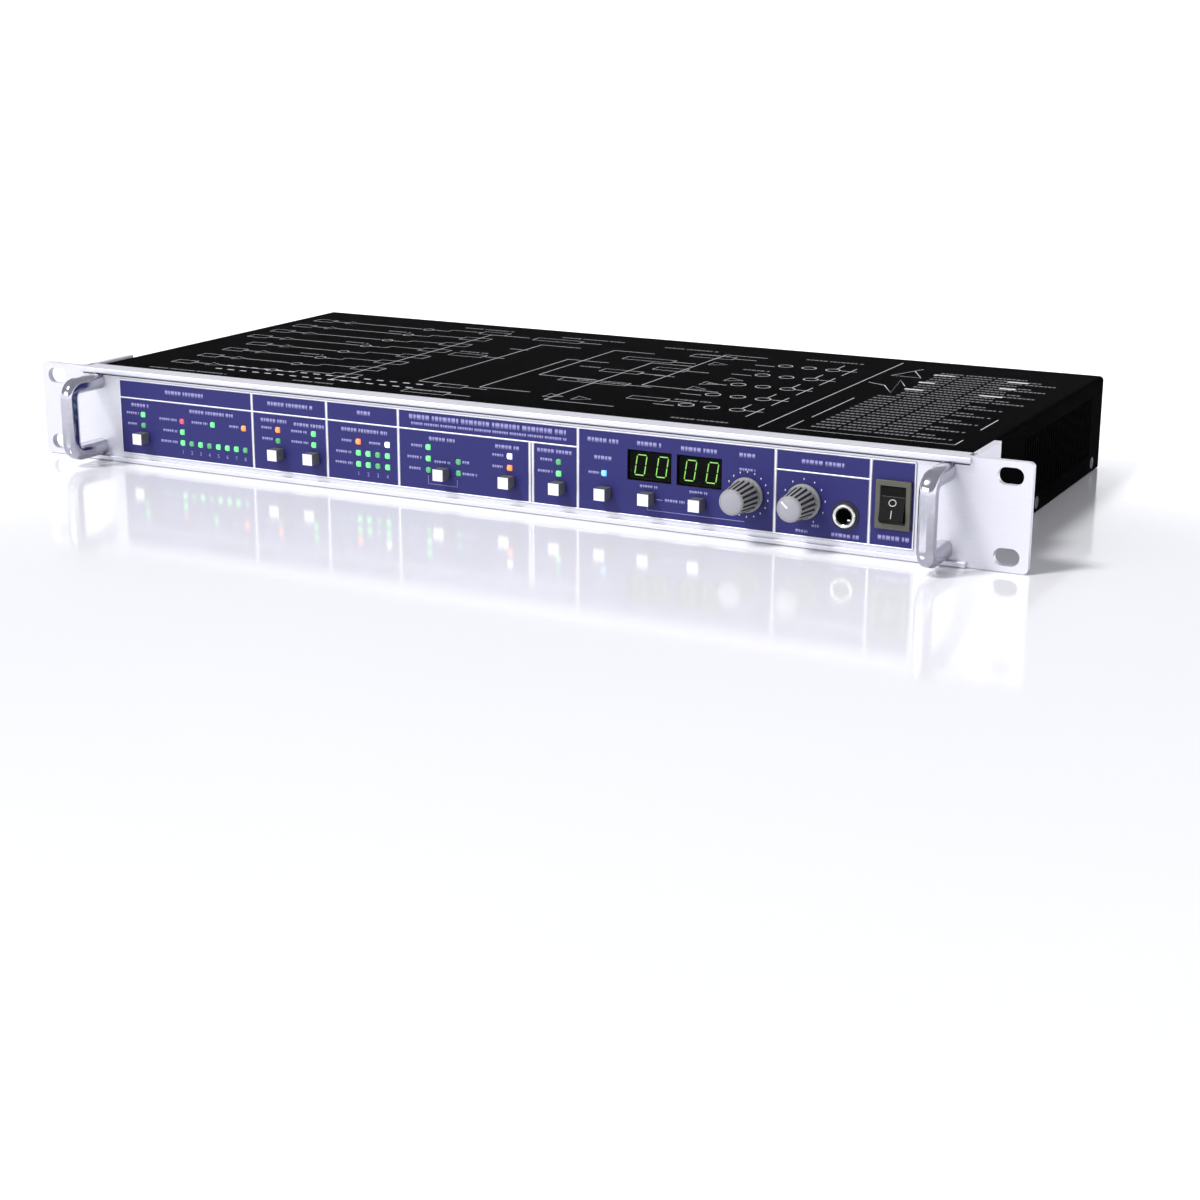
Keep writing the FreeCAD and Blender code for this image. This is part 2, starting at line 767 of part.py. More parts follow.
# ---- Mains inlet
inlet_face = rounded(block(span(inlet_x, inlet_width), (rear, rear + inlet_proud),
                           span(inlet_z, inlet_height)), 1.5, ALONG_Y)
inlet_body = block(span(inlet_x, inlet_body_width), (rear - inlet_depth, rear),
                   span(inlet_z, inlet_body_height))
socket_low, socket_high = span(inlet_z, socket_height)
socket_left, socket_right = span(inlet_x, socket_width)
socket_floor = rear + inlet_proud - socket_depth
socket_points = [Vector(socket_left, socket_floor, socket_low),
                 Vector(socket_right, socket_floor, socket_low),
                 Vector(socket_right, socket_floor, socket_high - socket_chamfer),
                 Vector(socket_right - socket_chamfer, socket_floor, socket_high),
                 Vector(socket_left + socket_chamfer, socket_floor, socket_high),
                 Vector(socket_left, socket_floor, socket_high - socket_chamfer)]
socket = prism(socket_points, Vector(0, socket_depth + 1, 0))
write("mains_inlet", inlet_face.fuse(inlet_body).cut(socket).removeSplitter())
blade_tip = rear + inlet_proud - blade_recess
blades = [(inlet_x, inlet_z + blade_rise / 2)]
blades += [(inlet_x + k * blade_pitch / 2, inlet_z - blade_rise / 2) for k in (-1, 1)]
write("mains_pins", *[block(span(x, blade_width), (socket_floor, blade_tip), span(z, blade_height))
                      for x, z in blades])

# ---- Nine-way D connector: metal shell, insert with pins, jackscrews
inner_w = dsub_width - 2 * dsub_wall
inner_h = dsub_height - 2 * dsub_wall
inner_corner = dsub_corner - dsub_wall
flange_y = (tray_inside - dsub_flange_thickness, tray_inside)
shell = d_shape(dsub_x, dsub_z, (flange_y[0], rear + dsub_proud), dsub_width, dsub_height,
                dsub_corner)
shell = shell.fuse(block(span(dsub_x, dsub_flange_width), flange_y,
                         span(dsub_z, dsub_flange_height)))
shell = shell.cut(d_shape(dsub_x, dsub_z, (flange_y[0] - 1, rear + dsub_proud + 1),
                          inner_w, inner_h, inner_corner))
dsub_screws = span(dsub_x, dsub_screw_pitch)
shell = shell.cut([rod(x, dsub_z, (flange_y[0] - 1, rear), screw_radius + screw_clearance)
                   for x in dsub_screws])
write("dsub_shell", shell)
insert_gap = clearance
insert = d_shape(dsub_x, dsub_z, (flange_y[0], rear - 0.5), inner_w - insert_gap,
                 inner_h - insert_gap, inner_corner)
insert = insert.fuse(block(span(dsub_x, dsub_width), (flange_y[0] - 8, flange_y[0]),
                           span(dsub_z, dsub_height)))
pins = []
for count, z in ((5, dsub_z + dsub_row_pitch / 2), (4, dsub_z - dsub_row_pitch / 2)):
    for k in range(count):
        x = dsub_x + (k - (count - 1) / 2) * dsub_pin_pitch
        pins.append(rod(x, z, (rear - 1, rear + dsub_proud - 0.8), dsub_pin_radius))
write("dsub_insert", insert.fuse(pins))
jackscrews = [hexagon(x, dsub_z, (rear, rear + jackscrew_length), jackscrew_flats)
              .fuse(rod(x, dsub_z, (flange_y[0] - 2, rear), screw_radius))
              .cut(rod(x, dsub_z, (rear + 1, rear + jackscrew_length + 1), screw_radius))
              for x in dsub_screws]
write("dsub_jackscrews", *jackscrews)

# ---- Optical port with its two sprung shutters
optical_face = rear + optical_proud
port = block(span(optical_x, optical_width), (rear, optical_face), span(optical_z, optical_height))
port = port.fuse(block(span(optical_x, optical_width - 2 * optical_lip),
                       (optical_face - optical_depth, rear),
                       span(optical_z, optical_height - 2 * optical_lip)))
shutter_y = (optical_face - shutter_recess - shutter_thickness, optical_face - shutter_recess)
port_low, port_high = span(optical_z, port_height)
for x, word in zip(shutter_places, ("left", "right")):
    port = port.cut(block(span(x, port_width), (optical_face - port_depth, optical_face + 1),
                          (port_low, port_high)))
    door = block(span(x, port_width - 2 * shutter_gap), shutter_y,
                 (port_low + shutter_gap, port_high - shutter_gap))
    top_edges = [e for e in door.Edges if is_along(e, ALONG_X)
                 and e.CenterOfMass.z > port_high - shutter_gap - 1e-6]
    write(f"optical_shutter_{word}", door.makeFillet(shutter_thickness / 2 - 0.01, top_edges))
write("optical_port", port.removeSplitter())


# ---- BNC sockets: shell with bayonet lugs, washer and nut, insulator
def make_bnc(x, z):
    tip = rear + bnc_reach
    shell = rod(x, z, (tray_inside - bnc_depth, rear + bnc_washer_height + bnc_nut_height),
                bnc_thread)
    shell = shell.fuse(rod(x, z, (rear, tip), bnc_barrel))
    lug = Part.makeCylinder(bnc_lug_radius, 2 * (bnc_barrel + bnc_lug_reach),
                            Vector(x - bnc_barrel - bnc_lug_reach, tip - bnc_lug_setback, z),
                            ALONG_X)
    shell = shell.fuse(lug)
    return shell.cut(rod(x, z, (rear, tip + 1), bnc_bore))


def make_bnc_nut(x, z):
    washer_y = (rear, rear + bnc_washer_height)
    nut_y = (washer_y[1], washer_y[1] + bnc_nut_height)
    nut = rod(x, z, washer_y, bnc_washer_radius).fuse(hexagon(x, z, nut_y, bnc_nut_flats))
    return nut.cut(rod(x, z, (washer_y[0] - 1, nut_y[1] + 1), bnc_thread))


insulator_tip = rear + bnc_reach - 1.5
write("bnc_shells", *[make_bnc(x, z) for x, z in bnc_places])
write("bnc_nuts", *[make_bnc_nut(x, z) for x, z in bnc_places])
write("bnc_insulators", *[rod(x, z, (rear, insulator_tip), bnc_insulator)
                          .cut(rod(x, z, (rear - 1, insulator_tip + 1), bnc_contact))
                          for x, z in bnc_places])

# ---- Termination button
write("termination_button", block(span(term_x, term_width),
                                  (tray_inside - term_depth, rear + term_proud),
                                  span(term_z, term_height)))


# ---- XLR sockets: male cups with pins, female sockets with a sprung release tab each
def xlr_body(x, top):
    back = tray_inside - xlr_body_depth
    body = block(span(x, xlr_body_width), (back, tray_inside), (xlr_body_low, top))
    body = body.fuse(rod(x, xlr_z, (tray_inside, rear + xlr_proud), xlr_ring))
    holes = [rod(sx, sz, (tray_inside - connector_screw_length, rear), connector_screw_radius
                 + screw_clearance) for sx, sz in xlr_screw_places(x)]
    return body.cut(holes)


def pin_places(x):
    angles = [math.radians(a) for a in (-60, 60, 180)]
    return [(x + xlr_pin_circle * math.sin(a), xlr_z + xlr_pin_circle * math.cos(a))
            for a in angles]


cup_floor = rear + xlr_proud - xlr_male_depth
males = [xlr_body(x, xlr_body_high).cut(rod(x, xlr_z, (cup_floor, rear + xlr_proud + 1), xlr_bore))
         for x in male_places]
write("xlr_male_sockets", *males)


def make_female(x):
    tip = rear + xlr_proud
    groove = rod(x, xlr_z, (tip - xlr_groove_depth, tip + 1), xlr_bore)
    groove = groove.cut(rod(x, xlr_z, (tip - xlr_groove_depth, rear + xlr_insert_proud),
                            xlr_insert))
    holes = [rod(px, pz, (tip - xlr_hole_depth, tip + 1), xlr_hole_radius)
             for px, pz in pin_places(x)]
    slot = tab_slot(x, (tray_inside - tab_depth - tab_travel - 1, tip + 1))
    return xlr_body(x, xlr_female_high).cut([groove, slot] + holes)


write("xlr_female_sockets", *[make_female(x) for x in female_places])
for number, x in enumerate(female_places, 1):
    tab = block(span(x, tab_width), (tray_inside - tab_depth, rear + tab_proud),
                (tab_low, tab_low + tab_height))
    write(f"latch_tab_{number}", rounded(tab, 0.8, ALONG_Y))

signal_pins = [rod(px, pz, (cup_floor, rear - xlr_pin_recess), xlr_pin_radius)
               for x in male_places for px, pz in pin_places(x)]
signal_pins += [rod(x, z, (rear, insulator_tip - 0.3), bnc_contact - 0.02) for x, z in bnc_places]
write("signal_pins", *signal_pins)


# ---- Dome-head screws that hold the XLR sockets
def connector_screw(x, z):
    head = rod(x, z, (rear, rear + connector_head_height), connector_head_radius)
    rim = [e for e in head.Edges if isinstance(e.Curve, Part.Circle)
           and e.CenterOfMass.y > rear + 1e-6]
    head = head.makeFillet(0.9, rim)
    return head.fuse(rod(x, z, (rear - connector_screw_length + 0.5, rear),
                         connector_screw_radius))


write("connector_screws", *[connector_screw(sx, sz) for x in male_places + female_places
                            for sx, sz in xlr_screw_places(x)])


# ---- DIN sockets: five contact holes in half a circle
def make_din(x):
    body = block(span(x, din_body), (tray_inside - din_depth, tray_inside), span(din_z, din_body))
    body = body.fuse(rod(x, din_z, (tray_inside, rear + din_proud), din_ring))
    cuts = [rod(x, din_z, (rear + din_proud - din_recess, rear + din_proud + 1), din_bore)]
    for k in range(5):
        angle = math.radians(45 * k)
        cuts.append(rod(x + din_hole_circle * math.cos(angle),
                        din_z + din_hole_circle * math.sin(angle),
                        (rear - din_hole_depth, rear + 1), din_hole_radius))
    return body.cut(cuts)


write("din_sockets", *[make_din(x) for x in din_places])

# ---- Boards and what is soldered to them
front_board = block((front_board_left, front_board_right), (board_front, board_back),
                    (front_board_low, front_board_high))
front_board = front_board.cut([rod(x, z, (board_front - 1, board_back + 1),
                                   screw_radius + screw_clearance) for x, z in post_places])
write("front_board", front_board)
screw_holes = [post(x, y, (board_low - 1, board_top + 1), screw_radius + screw_clearance)
               for x, y in standoff_places]
main_y = (front + main_board_setback, tray_inside - 0.3)
main_board = block(main_board_x, main_y, (board_low, board_top)).cut(screw_holes)
chip_height = 2.4
chip_places = ((-120, -25, 24), (-60, -30, 20), (20, -30, 30), (90, -20, 20),
               (-160, 15, 14), (-90, 20, 14), (60, 25, 14))
chips = [block(span(x, size), span(y, size), (board_top, board_top + chip_height))
         for x, y, size in chip_places]
write("main_board", main_board, *chips)
power_y = (front + power_board_setback, rear - power_board_rear_gap)
write("power_board", block(power_board_x, power_y, (board_low, board_top)).cut(screw_holes))

# ---- Power supply: transformer behind the board's front screws, then heatsink and capacitors
transformer_size = 36.0
transformer_height = 26.0
transformer_y = power_y[0] + 10
transformer_x = power_board_x[0] + 8
transformer = block((transformer_x, transformer_x + transformer_size),
                    (transformer_y, transformer_y + transformer_size),
                    (board_top, board_top + transformer_height))
heatsink_length = 40.0
heatsink_height = 28.0
heatsink_plate = 3.0
fin_count = 7
fin_length = 8.0
fin_thickness = 1.5
heatsink_x = power_board_x[0] + 4
heatsink_y = transformer_y + transformer_size + 2
heatsink_z = (board_top, board_top + heatsink_height)
fin_x = (heatsink_x + heatsink_plate, heatsink_x + heatsink_plate + fin_length)
fin_pitch = (heatsink_length - 4) / (fin_count - 1)
heatsink = block((heatsink_x, fin_x[0]), (heatsink_y, heatsink_y + heatsink_length), heatsink_z)
heatsink = heatsink.fuse([block(fin_x, span(heatsink_y + 2 + fin_pitch * k, fin_thickness),
                                heatsink_z) for k in range(fin_count)])
capacitor_radius = 7.5
capacitor_height = 24.0
capacitor_pitch = 17.0
capacitor_x = power_board_x[1] - capacitor_radius - 1.5
capacitors = [post(capacitor_x - capacitor_pitch * column,
                   heatsink_y + capacitor_radius + 1 + capacitor_pitch * row,
                   (board_top, board_top + capacitor_height), capacitor_radius)
              for column in (0, 1) for row in (0, 1)]
write("power_components", transformer, heatsink, *capacitors)

# ---- Ribbon cable: from the front board down to the main board
ribbon_width = 40.0
ribbon_thickness = 1.0
ribbon_bend = 8.0            # straight stretch at each end
ribbon_start = (board_back, panel_height / 2)
ribbon_end = (front + main_board_setback + 14, board_top)
ribbon_x = span(-30, ribbon_width)
path = [ribbon_start, (ribbon_start[0] + ribbon_bend, ribbon_start[1]),
        (ribbon_end[0], ribbon_end[1] + ribbon_bend), ribbon_end]
upper = [Vector(ribbon_x[0], y, z) for y, z in path]
lower = [Vector(ribbon_x[0], path[3][0] - ribbon_thickness, path[3][1]),
         Vector(ribbon_x[0], path[2][0] - ribbon_thickness, path[2][1] - 0.4),
         Vector(ribbon_x[0], path[1][0] - 0.4, path[1][1] - ribbon_thickness),
         Vector(ribbon_x[0], path[0][0], path[0][1] - ribbon_thickness)]
write("ribbon_cable", prism(upper + lower, Vector(ribbon_width, 0, 0)))
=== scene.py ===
import math

import bmesh
import bpy
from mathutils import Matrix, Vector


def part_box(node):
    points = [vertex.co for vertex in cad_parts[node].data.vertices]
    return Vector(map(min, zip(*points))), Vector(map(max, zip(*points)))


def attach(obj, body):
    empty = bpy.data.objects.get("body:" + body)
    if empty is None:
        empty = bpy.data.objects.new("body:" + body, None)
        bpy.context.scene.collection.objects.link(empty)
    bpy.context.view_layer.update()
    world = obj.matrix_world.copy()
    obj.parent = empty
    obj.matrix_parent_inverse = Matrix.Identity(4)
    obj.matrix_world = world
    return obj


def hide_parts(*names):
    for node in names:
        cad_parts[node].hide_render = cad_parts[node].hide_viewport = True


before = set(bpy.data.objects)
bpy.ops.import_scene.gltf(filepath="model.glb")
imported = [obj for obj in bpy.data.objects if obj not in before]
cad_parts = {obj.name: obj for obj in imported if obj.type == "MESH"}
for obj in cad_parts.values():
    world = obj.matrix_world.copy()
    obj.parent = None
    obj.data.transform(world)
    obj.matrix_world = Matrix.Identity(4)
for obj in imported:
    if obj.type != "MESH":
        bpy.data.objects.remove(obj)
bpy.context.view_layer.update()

# ---- The studio
# A pale, glossy table top, a broad lamp high up and a softbox at the front left, and a long
# lens a little above the unit, so that the front, the top and one end show at once.


def add_node(tree, kind, inputs=None, **settings):
    """Add a shader node, set its properties, and set or link its inputs."""
    node = tree.nodes.new(kind)
    for name, value in settings.items():
        setattr(node, name, value)
    for name, value in (inputs or {}).items():
        if isinstance(value, bpy.types.NodeSocket):
            tree.links.new(value, node.inputs[name])
        else:
            node.inputs[name].default_value = value
    return node


def sheet_colour(code):
    """An sRGB hex value as linear red, green, blue and alpha."""
    parts = [int(code[k:k + 2], 16) / 255 for k in (0, 2, 4)]
    linear = [c / 12.92 if c <= 0.04045 else ((c + 0.055) / 1.055) ** 2.4 for c in parts]
    return (*linear, 1.0)


def new_finish(name, **inputs):
    """Start a finish: its tree, its main shader and the object coordinates it reads."""
    finish = bpy.data.materials.new(name)
    finish.use_nodes = True
    tree = finish.node_tree
    shader = tree.nodes["Principled BSDF"]
    for key, value in inputs.items():
        shader.inputs[key.replace("_", " ")].default_value = value
    place = add_node(tree, "ShaderNodeTexCoord").outputs["Object"]
    return finish, tree, shader, place


def tint(tree, shader, factor, dark, light, *sockets):
    """Blend two colours by a factor into the shader's base colour and other sockets."""
    tones = [tone if isinstance(tone, bpy.types.NodeSocket) else sheet_colour(tone)
             for tone in (dark, light)]
    blend = add_node(tree, "ShaderNodeMix", {"Factor": factor, "A": tones[0], "B": tones[1]},
                     data_type="RGBA")
    for name in ("Base Color", *sockets):
        tree.links.new(blend.outputs["Result"], shader.inputs[name])


def coat(finish, *nodes):
    """Give CAD nodes their finish."""
    for node in nodes:
        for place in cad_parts[node].material_slots:
            place.material = finish


scene = bpy.context.scene
scene.view_settings.view_transform = "Standard"
lens = bpy.data.cameras.new("camera")
lens.lens = 64.54
camera = bpy.data.objects.new("camera", lens)
camera.location = (0.4578, -0.8851, 0.2162)
camera.rotation_euler = [math.radians(a) for a in (74.086, -0.217, 27.156)]
scene.collection.objects.link(camera)
scene.camera = camera

bpy.ops.object.select_all(action="DESELECT")
bpy.ops.mesh.primitive_plane_add(size=12, location=(0, 0, -0.0002))
floor = bpy.context.active_object
floor.name = "table_top"
table_finish, tree, shader, place = new_finish("white_lacquered_board", Roughness=0.1, IOR=2.0)
grain = add_node(tree, "ShaderNodeTexNoise", {"Vector": place, "Scale": 3.0, "Detail": 2.0})
tint(tree, shader, grain.outputs["Fac"], "EEEEF2", "F4F4F7")
floor.data.materials.append(table_finish)

# A lit band of white paper stands all round it, so that no view shows the floor's end.
bpy.ops.object.select_all(action="DESELECT")
bpy.ops.mesh.primitive_cylinder_add(vertices=96, radius=5.6, depth=1.3, end_fill_type="NOTHING",
                                    location=(0, 0, 0.6))
backdrop = bpy.context.active_object
backdrop.name = "paper_backdrop"
bpy.ops.object.transform_apply(location=True, rotation=True, scale=True)
paper_finish, tree, shader, place = new_finish("lit_white_paper", Roughness=0.9)
cloud = add_node(tree, "ShaderNodeTexNoise", {"Vector": place, "Scale": 0.5})
tint(tree, shader, cloud.outputs["Fac"], "FCFCFE", "FFFFFF", "Emission Color")
shader.inputs["Emission Strength"].default_value = 1.0
backdrop.data.materials.append(paper_finish)

world = bpy.data.worlds.new("studio")
scene.world = world
world.use_nodes = True
sky = world.node_tree.nodes["Background"].inputs
sky["Color"].default_value = sheet_colour("F4F5FA")
sky["Strength"].default_value = 0.55


def add_lamp(name, kind, power, position, target, **settings):
    """A lamp of one kind at a place, turned towards its target."""
    lamp = bpy.data.lights.new(name, kind)
    lamp.energy = power
    for key, value in settings.items():
        setattr(lamp, key, value)
    piece = bpy.data.objects.new(name, lamp)
    piece.location = position
    direction = [t - p for t, p in zip(target, position)]
    flat = math.hypot(direction[0], direction[1])
    piece.rotation_euler = (math.atan2(flat, -direction[2]), 0,
                            math.atan2(direction[1], direction[0]) - math.pi / 2)
    scene.collection.objects.link(piece)


add_lamp("window_light", "SUN", 2.3, (-1.0, -1.2, 2.0), (0, 0, 0), angle=math.radians(12))
add_lamp("front_softbox", "AREA", 9, (-0.7, -1.6, 0.7), (0, 0, 0.02), shape="RECTANGLE",
         size=1.4, size_y=0.5)


def vary_gloss(tree, shader, factor, rough):
    """Let the roughness follow a factor from its lowest to its highest value."""
    gloss = add_node(tree, "ShaderNodeMapRange", {"Value": factor, "To Min": rough[0],
                                                  "To Max": rough[1]})
    tree.links.new(gloss.outputs["Result"], shader.inputs["Roughness"])


def grained(name, dark, light, grain, rough, relief=0.0, stretch=(1, 1, 1), **inputs):
    """A finish of two close tones with a grain of one size, which also varies its gloss."""
    finish, tree, shader, place = new_finish(name, **inputs)
    spread = add_node(tree, "ShaderNodeMapping", {"Vector": place, "Scale": stretch})
    noise = add_node(tree, "ShaderNodeTexNoise", {"Vector": spread.outputs["Vector"],
                                                  "Scale": 1 / grain, "Detail": 4.0})
    tint(tree, shader, noise.outputs["Fac"], dark, light)
    vary_gloss(tree, shader, noise.outputs["Fac"], rough)
    if relief:
        bump = add_node(tree, "ShaderNodeBump", {"Height": noise.outputs["Fac"],
                                                 "Distance": relief})
        tree.links.new(bump.outputs["Normal"], shader.inputs["Normal"])
    return finish


mm = 0.001

# ---- The case
# The tray with its rear panel and the cover are bent from 1.2 mm sheet steel. Both are
# powder coated in fine-grained black, and the cover slips over the tray from above.
# A powder coat is a plastic skin: no metal shows, and its grain scatters the highlights.
coat(grained("black_powder_coat", "020203", "070708", 0.7 * mm, (0.5, 0.65), relief=0.02 * mm,
             Specular_IOR_Level=0.0008), "base_tray", "top_cover")


# ---- The print on the cover
# A plan of the signal paths, screen-printed in white ink: boxes, amplifier marks, long
# dashed lines and a field of small rows at the back right.
def select_only(piece):
    bpy.ops.object.select_all(action="DESELECT")
    piece.select_set(True)
    bpy.context.view_layer.objects.active = piece


def add_path(curve, points, closed=False):
    """Add a run of straight steps to a curve."""
    line = curve.splines.new("POLY")
    line.points.add(len(points) - 1)
    line.use_cyclic_u = closed
    for point, place in zip(line.points, points):
        point.co = (*place, 1.0)


def link_curve(name, curve):
    piece = bpy.data.objects.new(name, curve)
    scene.collection.objects.link(piece)
    return piece


def to_mesh(name, curve):
    """Turn a curve into a mesh piece, which is then the active one."""
    select_only(link_curve(name, curve))
    bpy.ops.object.convert(target="MESH")
    return bpy.context.active_object


ink_thickness = 0.05 * mm


def draw_lines(name, paths, width, level, flat_axis):
    """Strips of ink along the paths, pressed flat against a surface if its level is given."""
    ink = bpy.data.curves.new(name, "CURVE")
    ink.dimensions = "3D"
    ink.bevel_depth = width / 2
    ink.bevel_resolution = 0
    ink.use_fill_caps = True
    for path in paths:
        closed = path[0] == path[-1]
        add_path(ink, path[:-1] if closed else path, closed)
    piece = to_mesh(name, ink)
    bpy.ops.object.mode_set(mode="EDIT")
    bpy.ops.mesh.select_all(action="SELECT")
    if level is not None:
        press, middle = [1.0, 1.0, 1.0], [0.0, 0.0, 0.0]
        press[flat_axis] = ink_thickness / width
        middle[flat_axis] = level
        bpy.ops.transform.resize(value=press, center_override=middle)
    bpy.ops.mesh.normals_make_consistent(inside=False)
    bpy.ops.object.mode_set(mode="OBJECT")
    return piece


def finish_piece(piece, finish, body, slot, *nodes):
    """Give a new piece its finish and its body, in place of the CAD nodes named; the slot is not
    used.
    """
    piece.data.materials.clear()
    piece.data.materials.append(finish)
    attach(piece, body)
    if nodes:
        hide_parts(*nodes)


def print_lines(name, paths, width, face, finish, slot, body="chassis"):
    """Lines of one width on a face, which is its level and the number of its flat axis."""
    finish_piece(draw_lines(name, paths, width, *face), finish, body, slot)


def print_on(face, name, paths, width, finish, slot):
    """Print on a flat face of the case, along paths given in millimetres on that face."""
    level, axis = face
    spots = [[(x * mm, y * mm, level) if axis == 2 else (x * mm, level, y * mm)
              for x, y in path] for path in paths]
    print_lines(name, spots, width * mm, face, finish, slot)


def around(x, y, radius, degrees):
    """The place at a distance and an angle from a centre."""
    angle = math.radians(degrees)
    return x + radius * math.cos(angle), y + radius * math.sin(angle)


def ring_path(x, y, radius, count):
    """A closed round path of straight steps about a centre."""
    return [around(x, y, radius, 360 * (k % count) / count) for k in range(count + 1)]


white_ink = grained("white_screen_ink", "C9C9D0", "F0F0F4", 0.8 * mm, (0.5, 0.7))
# Places on the cover are millimetres right of the unit's middle, then behind its middle.
cover_face = (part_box("top_cover")[1][2], 2)


def box_path(x, y, width, depth):
    """The outline of a box from its front left corner."""
    return (x, y), (x + width, y), (x + width, y + depth), (x, y + depth), (x, y)


def stroke_row(start, end, rise, size):
    """Short strokes of uneven length, as a row of small print looks from afar."""
    lengths = (0.75, 0.5, 0.9, 0.6, 0.8, 0.45)
    letter_gap, word_gap, shortest = 0.22, 0.6, 0.2
    strokes = []
    while start < end - shortest * size:
        count = len(strokes)
        reach = min(start + size * lengths[count % len(lengths)], end)
        strokes.append(((start, rise), (reach, rise)))
        start = reach + size * (letter_gap if count % 7 != 4 else word_gap)
    return strokes


plan = [((120.5, -84), (120.5, 93))]
# Input channels at the left: a box, a line, an amplifier mark and a ring in each row.
for row in range(8):
    y = -70 + 20 * row
    left = -204 if row > 3 else -190
    plan += [box_path(left, y, 11, 7), ((left + 11, y + 3.5), (left + 20, y + 3.5)),
             ((left + 20, y), (left + 20, y + 7), (left + 27, y + 3.5), (left + 20, y)),
             ((left + 27, y + 3.5), (-138, y + 3.5)), ring_path(-134, y + 3.5, 2.6, 14),
             ((-131, y + 3.5), (-122, y + 3.5), (-122, y + 8), (-104, y + 8)),
             box_path(-104, y + 4, 15, 8)]
# Sums and switches in the middle, joined by long lines.
for column, (x, low, high) in enumerate(((-96, -74, 74), (-58, -59, 58), (-26, -59, 26),
                                         (-18, -18, 60), (14, -72, 36), (36, -20, 74))):
    plan += [((x, low), (x, high)), ((x, high), (x + 22, high)),
             ((x, low), (x + 18 + 4 * column, low))]
for x, y, width in ((-52, -84, 22), (-46, -66, 14), (-84, 10, 18), (-4, -26, 34), (2, 4, 20),
                    (-4, 40, 26), (22, 20, 16), (22, 62, 22), (-70, 70, 26), (44, -52, 18)):
    plan += [box_path(x, y, width, 7), ((x + width, y + 3), (x + width + 12, y + 3))]
for x, y in ((10, -66), (24, -66), (58, -20), (58, -6), (64, 8), (40, 44)):
    plan.append(((x, y), (x + 8, y + 4), (x, y + 8), (x, y)))
# Outputs at the right: pairs of rings and short feeds.
for row in range(5):
    y = -58 + 28 * row
    plan += [ring_path(x, y + 2 * (x % 4), 3.4, 14) for x in (74, 86, 98)]
    plan += [((60, y), (70, y)), ((102, y + 4), (110, y + 4)),
             ((98.5, y + 8), (98.5, y + 18)), ((107, y - 8), (107, y + 12))]
# At the back right a framed field of small rows, with arcs of lines beside it.
plan += [((131.6, -62), (131.6, -80.5), (203, -80.5), (203, -70)),
         ((132, -54), (132, -4)), ((203, -47), (203, -23)),
         ((124, 36), (133, 32), (142, 15), (135, 48), (142, 34)),
         ((133, 74), (141.5, 57.5), (127, 58), (135, 80))]
print_on(cover_face, "plan_lines", plan, 0.45, white_ink, "black_steel")
small_print = 2.4
cover_rows = []
for row in range(27):
    y = -72 + 5.6 * row
    start, end = (139, 199) if y < 10 else (146, 205)
    cover_rows += stroke_row(start, end - 9 * (row % 3), y, small_print)
for x, y, length in ((-190, -86, 44), (-120, 88, 30), (-60, 84, 36), (0, 80, 30), (-84, 22, 16),
                     (-50, -78, 20), (4, -22, 26), (24, 70, 16), (60, 40, 14), (64, -44, 18),
                     (-150, 60, 14), (-150, 20, 14), (-150, -20, 14), (-66, 40, 10),
                     (76, 80, 30), (80, -82, 26), (-12, 12, 12), (30, 6, 10), (-110, -84, 22)):
    cover_rows += stroke_row(x, x + length, y, small_print)
faint_ink = grained("thin_white_screen_ink", "58585C", "7A7A7F", 0.8 * mm, (0.5, 0.7))
print_on(cover_face, "plan_rows", cover_rows, 2.0, faint_ink, "black_steel")
# Two dashed lines run along the front, below the channels.
cover_dashes = [((x, y), (x + 3.5, y)) for y in (-66, -75) for x in range(-160, -54, 7)]
print_on(cover_face, "plan_dashes", cover_dashes, 1.3, white_ink, "black_steel")
# Bold bars head and close the rows of the field at the back right.
cover_bars = [((x, y), (x + length, y)) for x, y, length in
              ((144.3, 68.5, 10), (144.2, 47, 7.5), (144.1, 28, 8.7),
               (179.9, 67, 9.7), (181.5, 49, 7.5), (178.8, 28, 10.5))]
print_on(cover_face, "plan_bars", cover_bars, 2.8, white_ink, "black_steel")

# ---- Front frame and rack ears
# The front is one aluminium extrusion with a raised rail along the top and the bottom. The
# ears are slotted plates with a leg screwed to the case. All are satin anodised, so the
# brushing along their length only shows as a soft, even sheen.
coat(grained("satin_anodised_aluminium", "CACAD4", "DCDCE4", 0.25 * mm, (0.38, 0.48),
             relief=0.003 * mm, stretch=(0.02, 1, 1), Metallic=0.6),
     "front_frame", "rack_ear_left", "rack_ear_right")
# A thin line of painted shadow runs under the top rail, where the rail's shade falls on the web;
# it is drawn as a dark grey strip, not cut.
rail_shadow_finish = grained("painted_rail_shadow", "3E3E4A", "5A5A68", 0.4 * mm, (0.6, 0.75),
                        stretch=(0.05, 1, 1))
low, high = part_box("front_frame")
rail_shadow_y, rail_shadow_z = low[1] + 2.0 * mm, high[2] - 3.1 * mm
rail_shadow_path = [(low[0] + 0.5 * mm, rail_shadow_y, rail_shadow_z), (high[0] - 0.5 * mm, rail_shadow_y, rail_shadow_z)]
print_lines("rail_shadow_strip", [rail_shadow_path], 0.6 * mm, (rail_shadow_y, 1), rail_shadow_finish,
            "satin_aluminium")

# ---- Screws
# Black zinc-plated steel: countersunk screws along the case and pan heads inside it. Those
# round the rear sockets have a plain, dull zinc plate and come with the sockets.
coat(grained("black_zinc_plate", "16161A", "242428", 0.5 * mm, (0.35, 0.5), Metallic=0.8),
     "case_screws", "pan_head_screws")


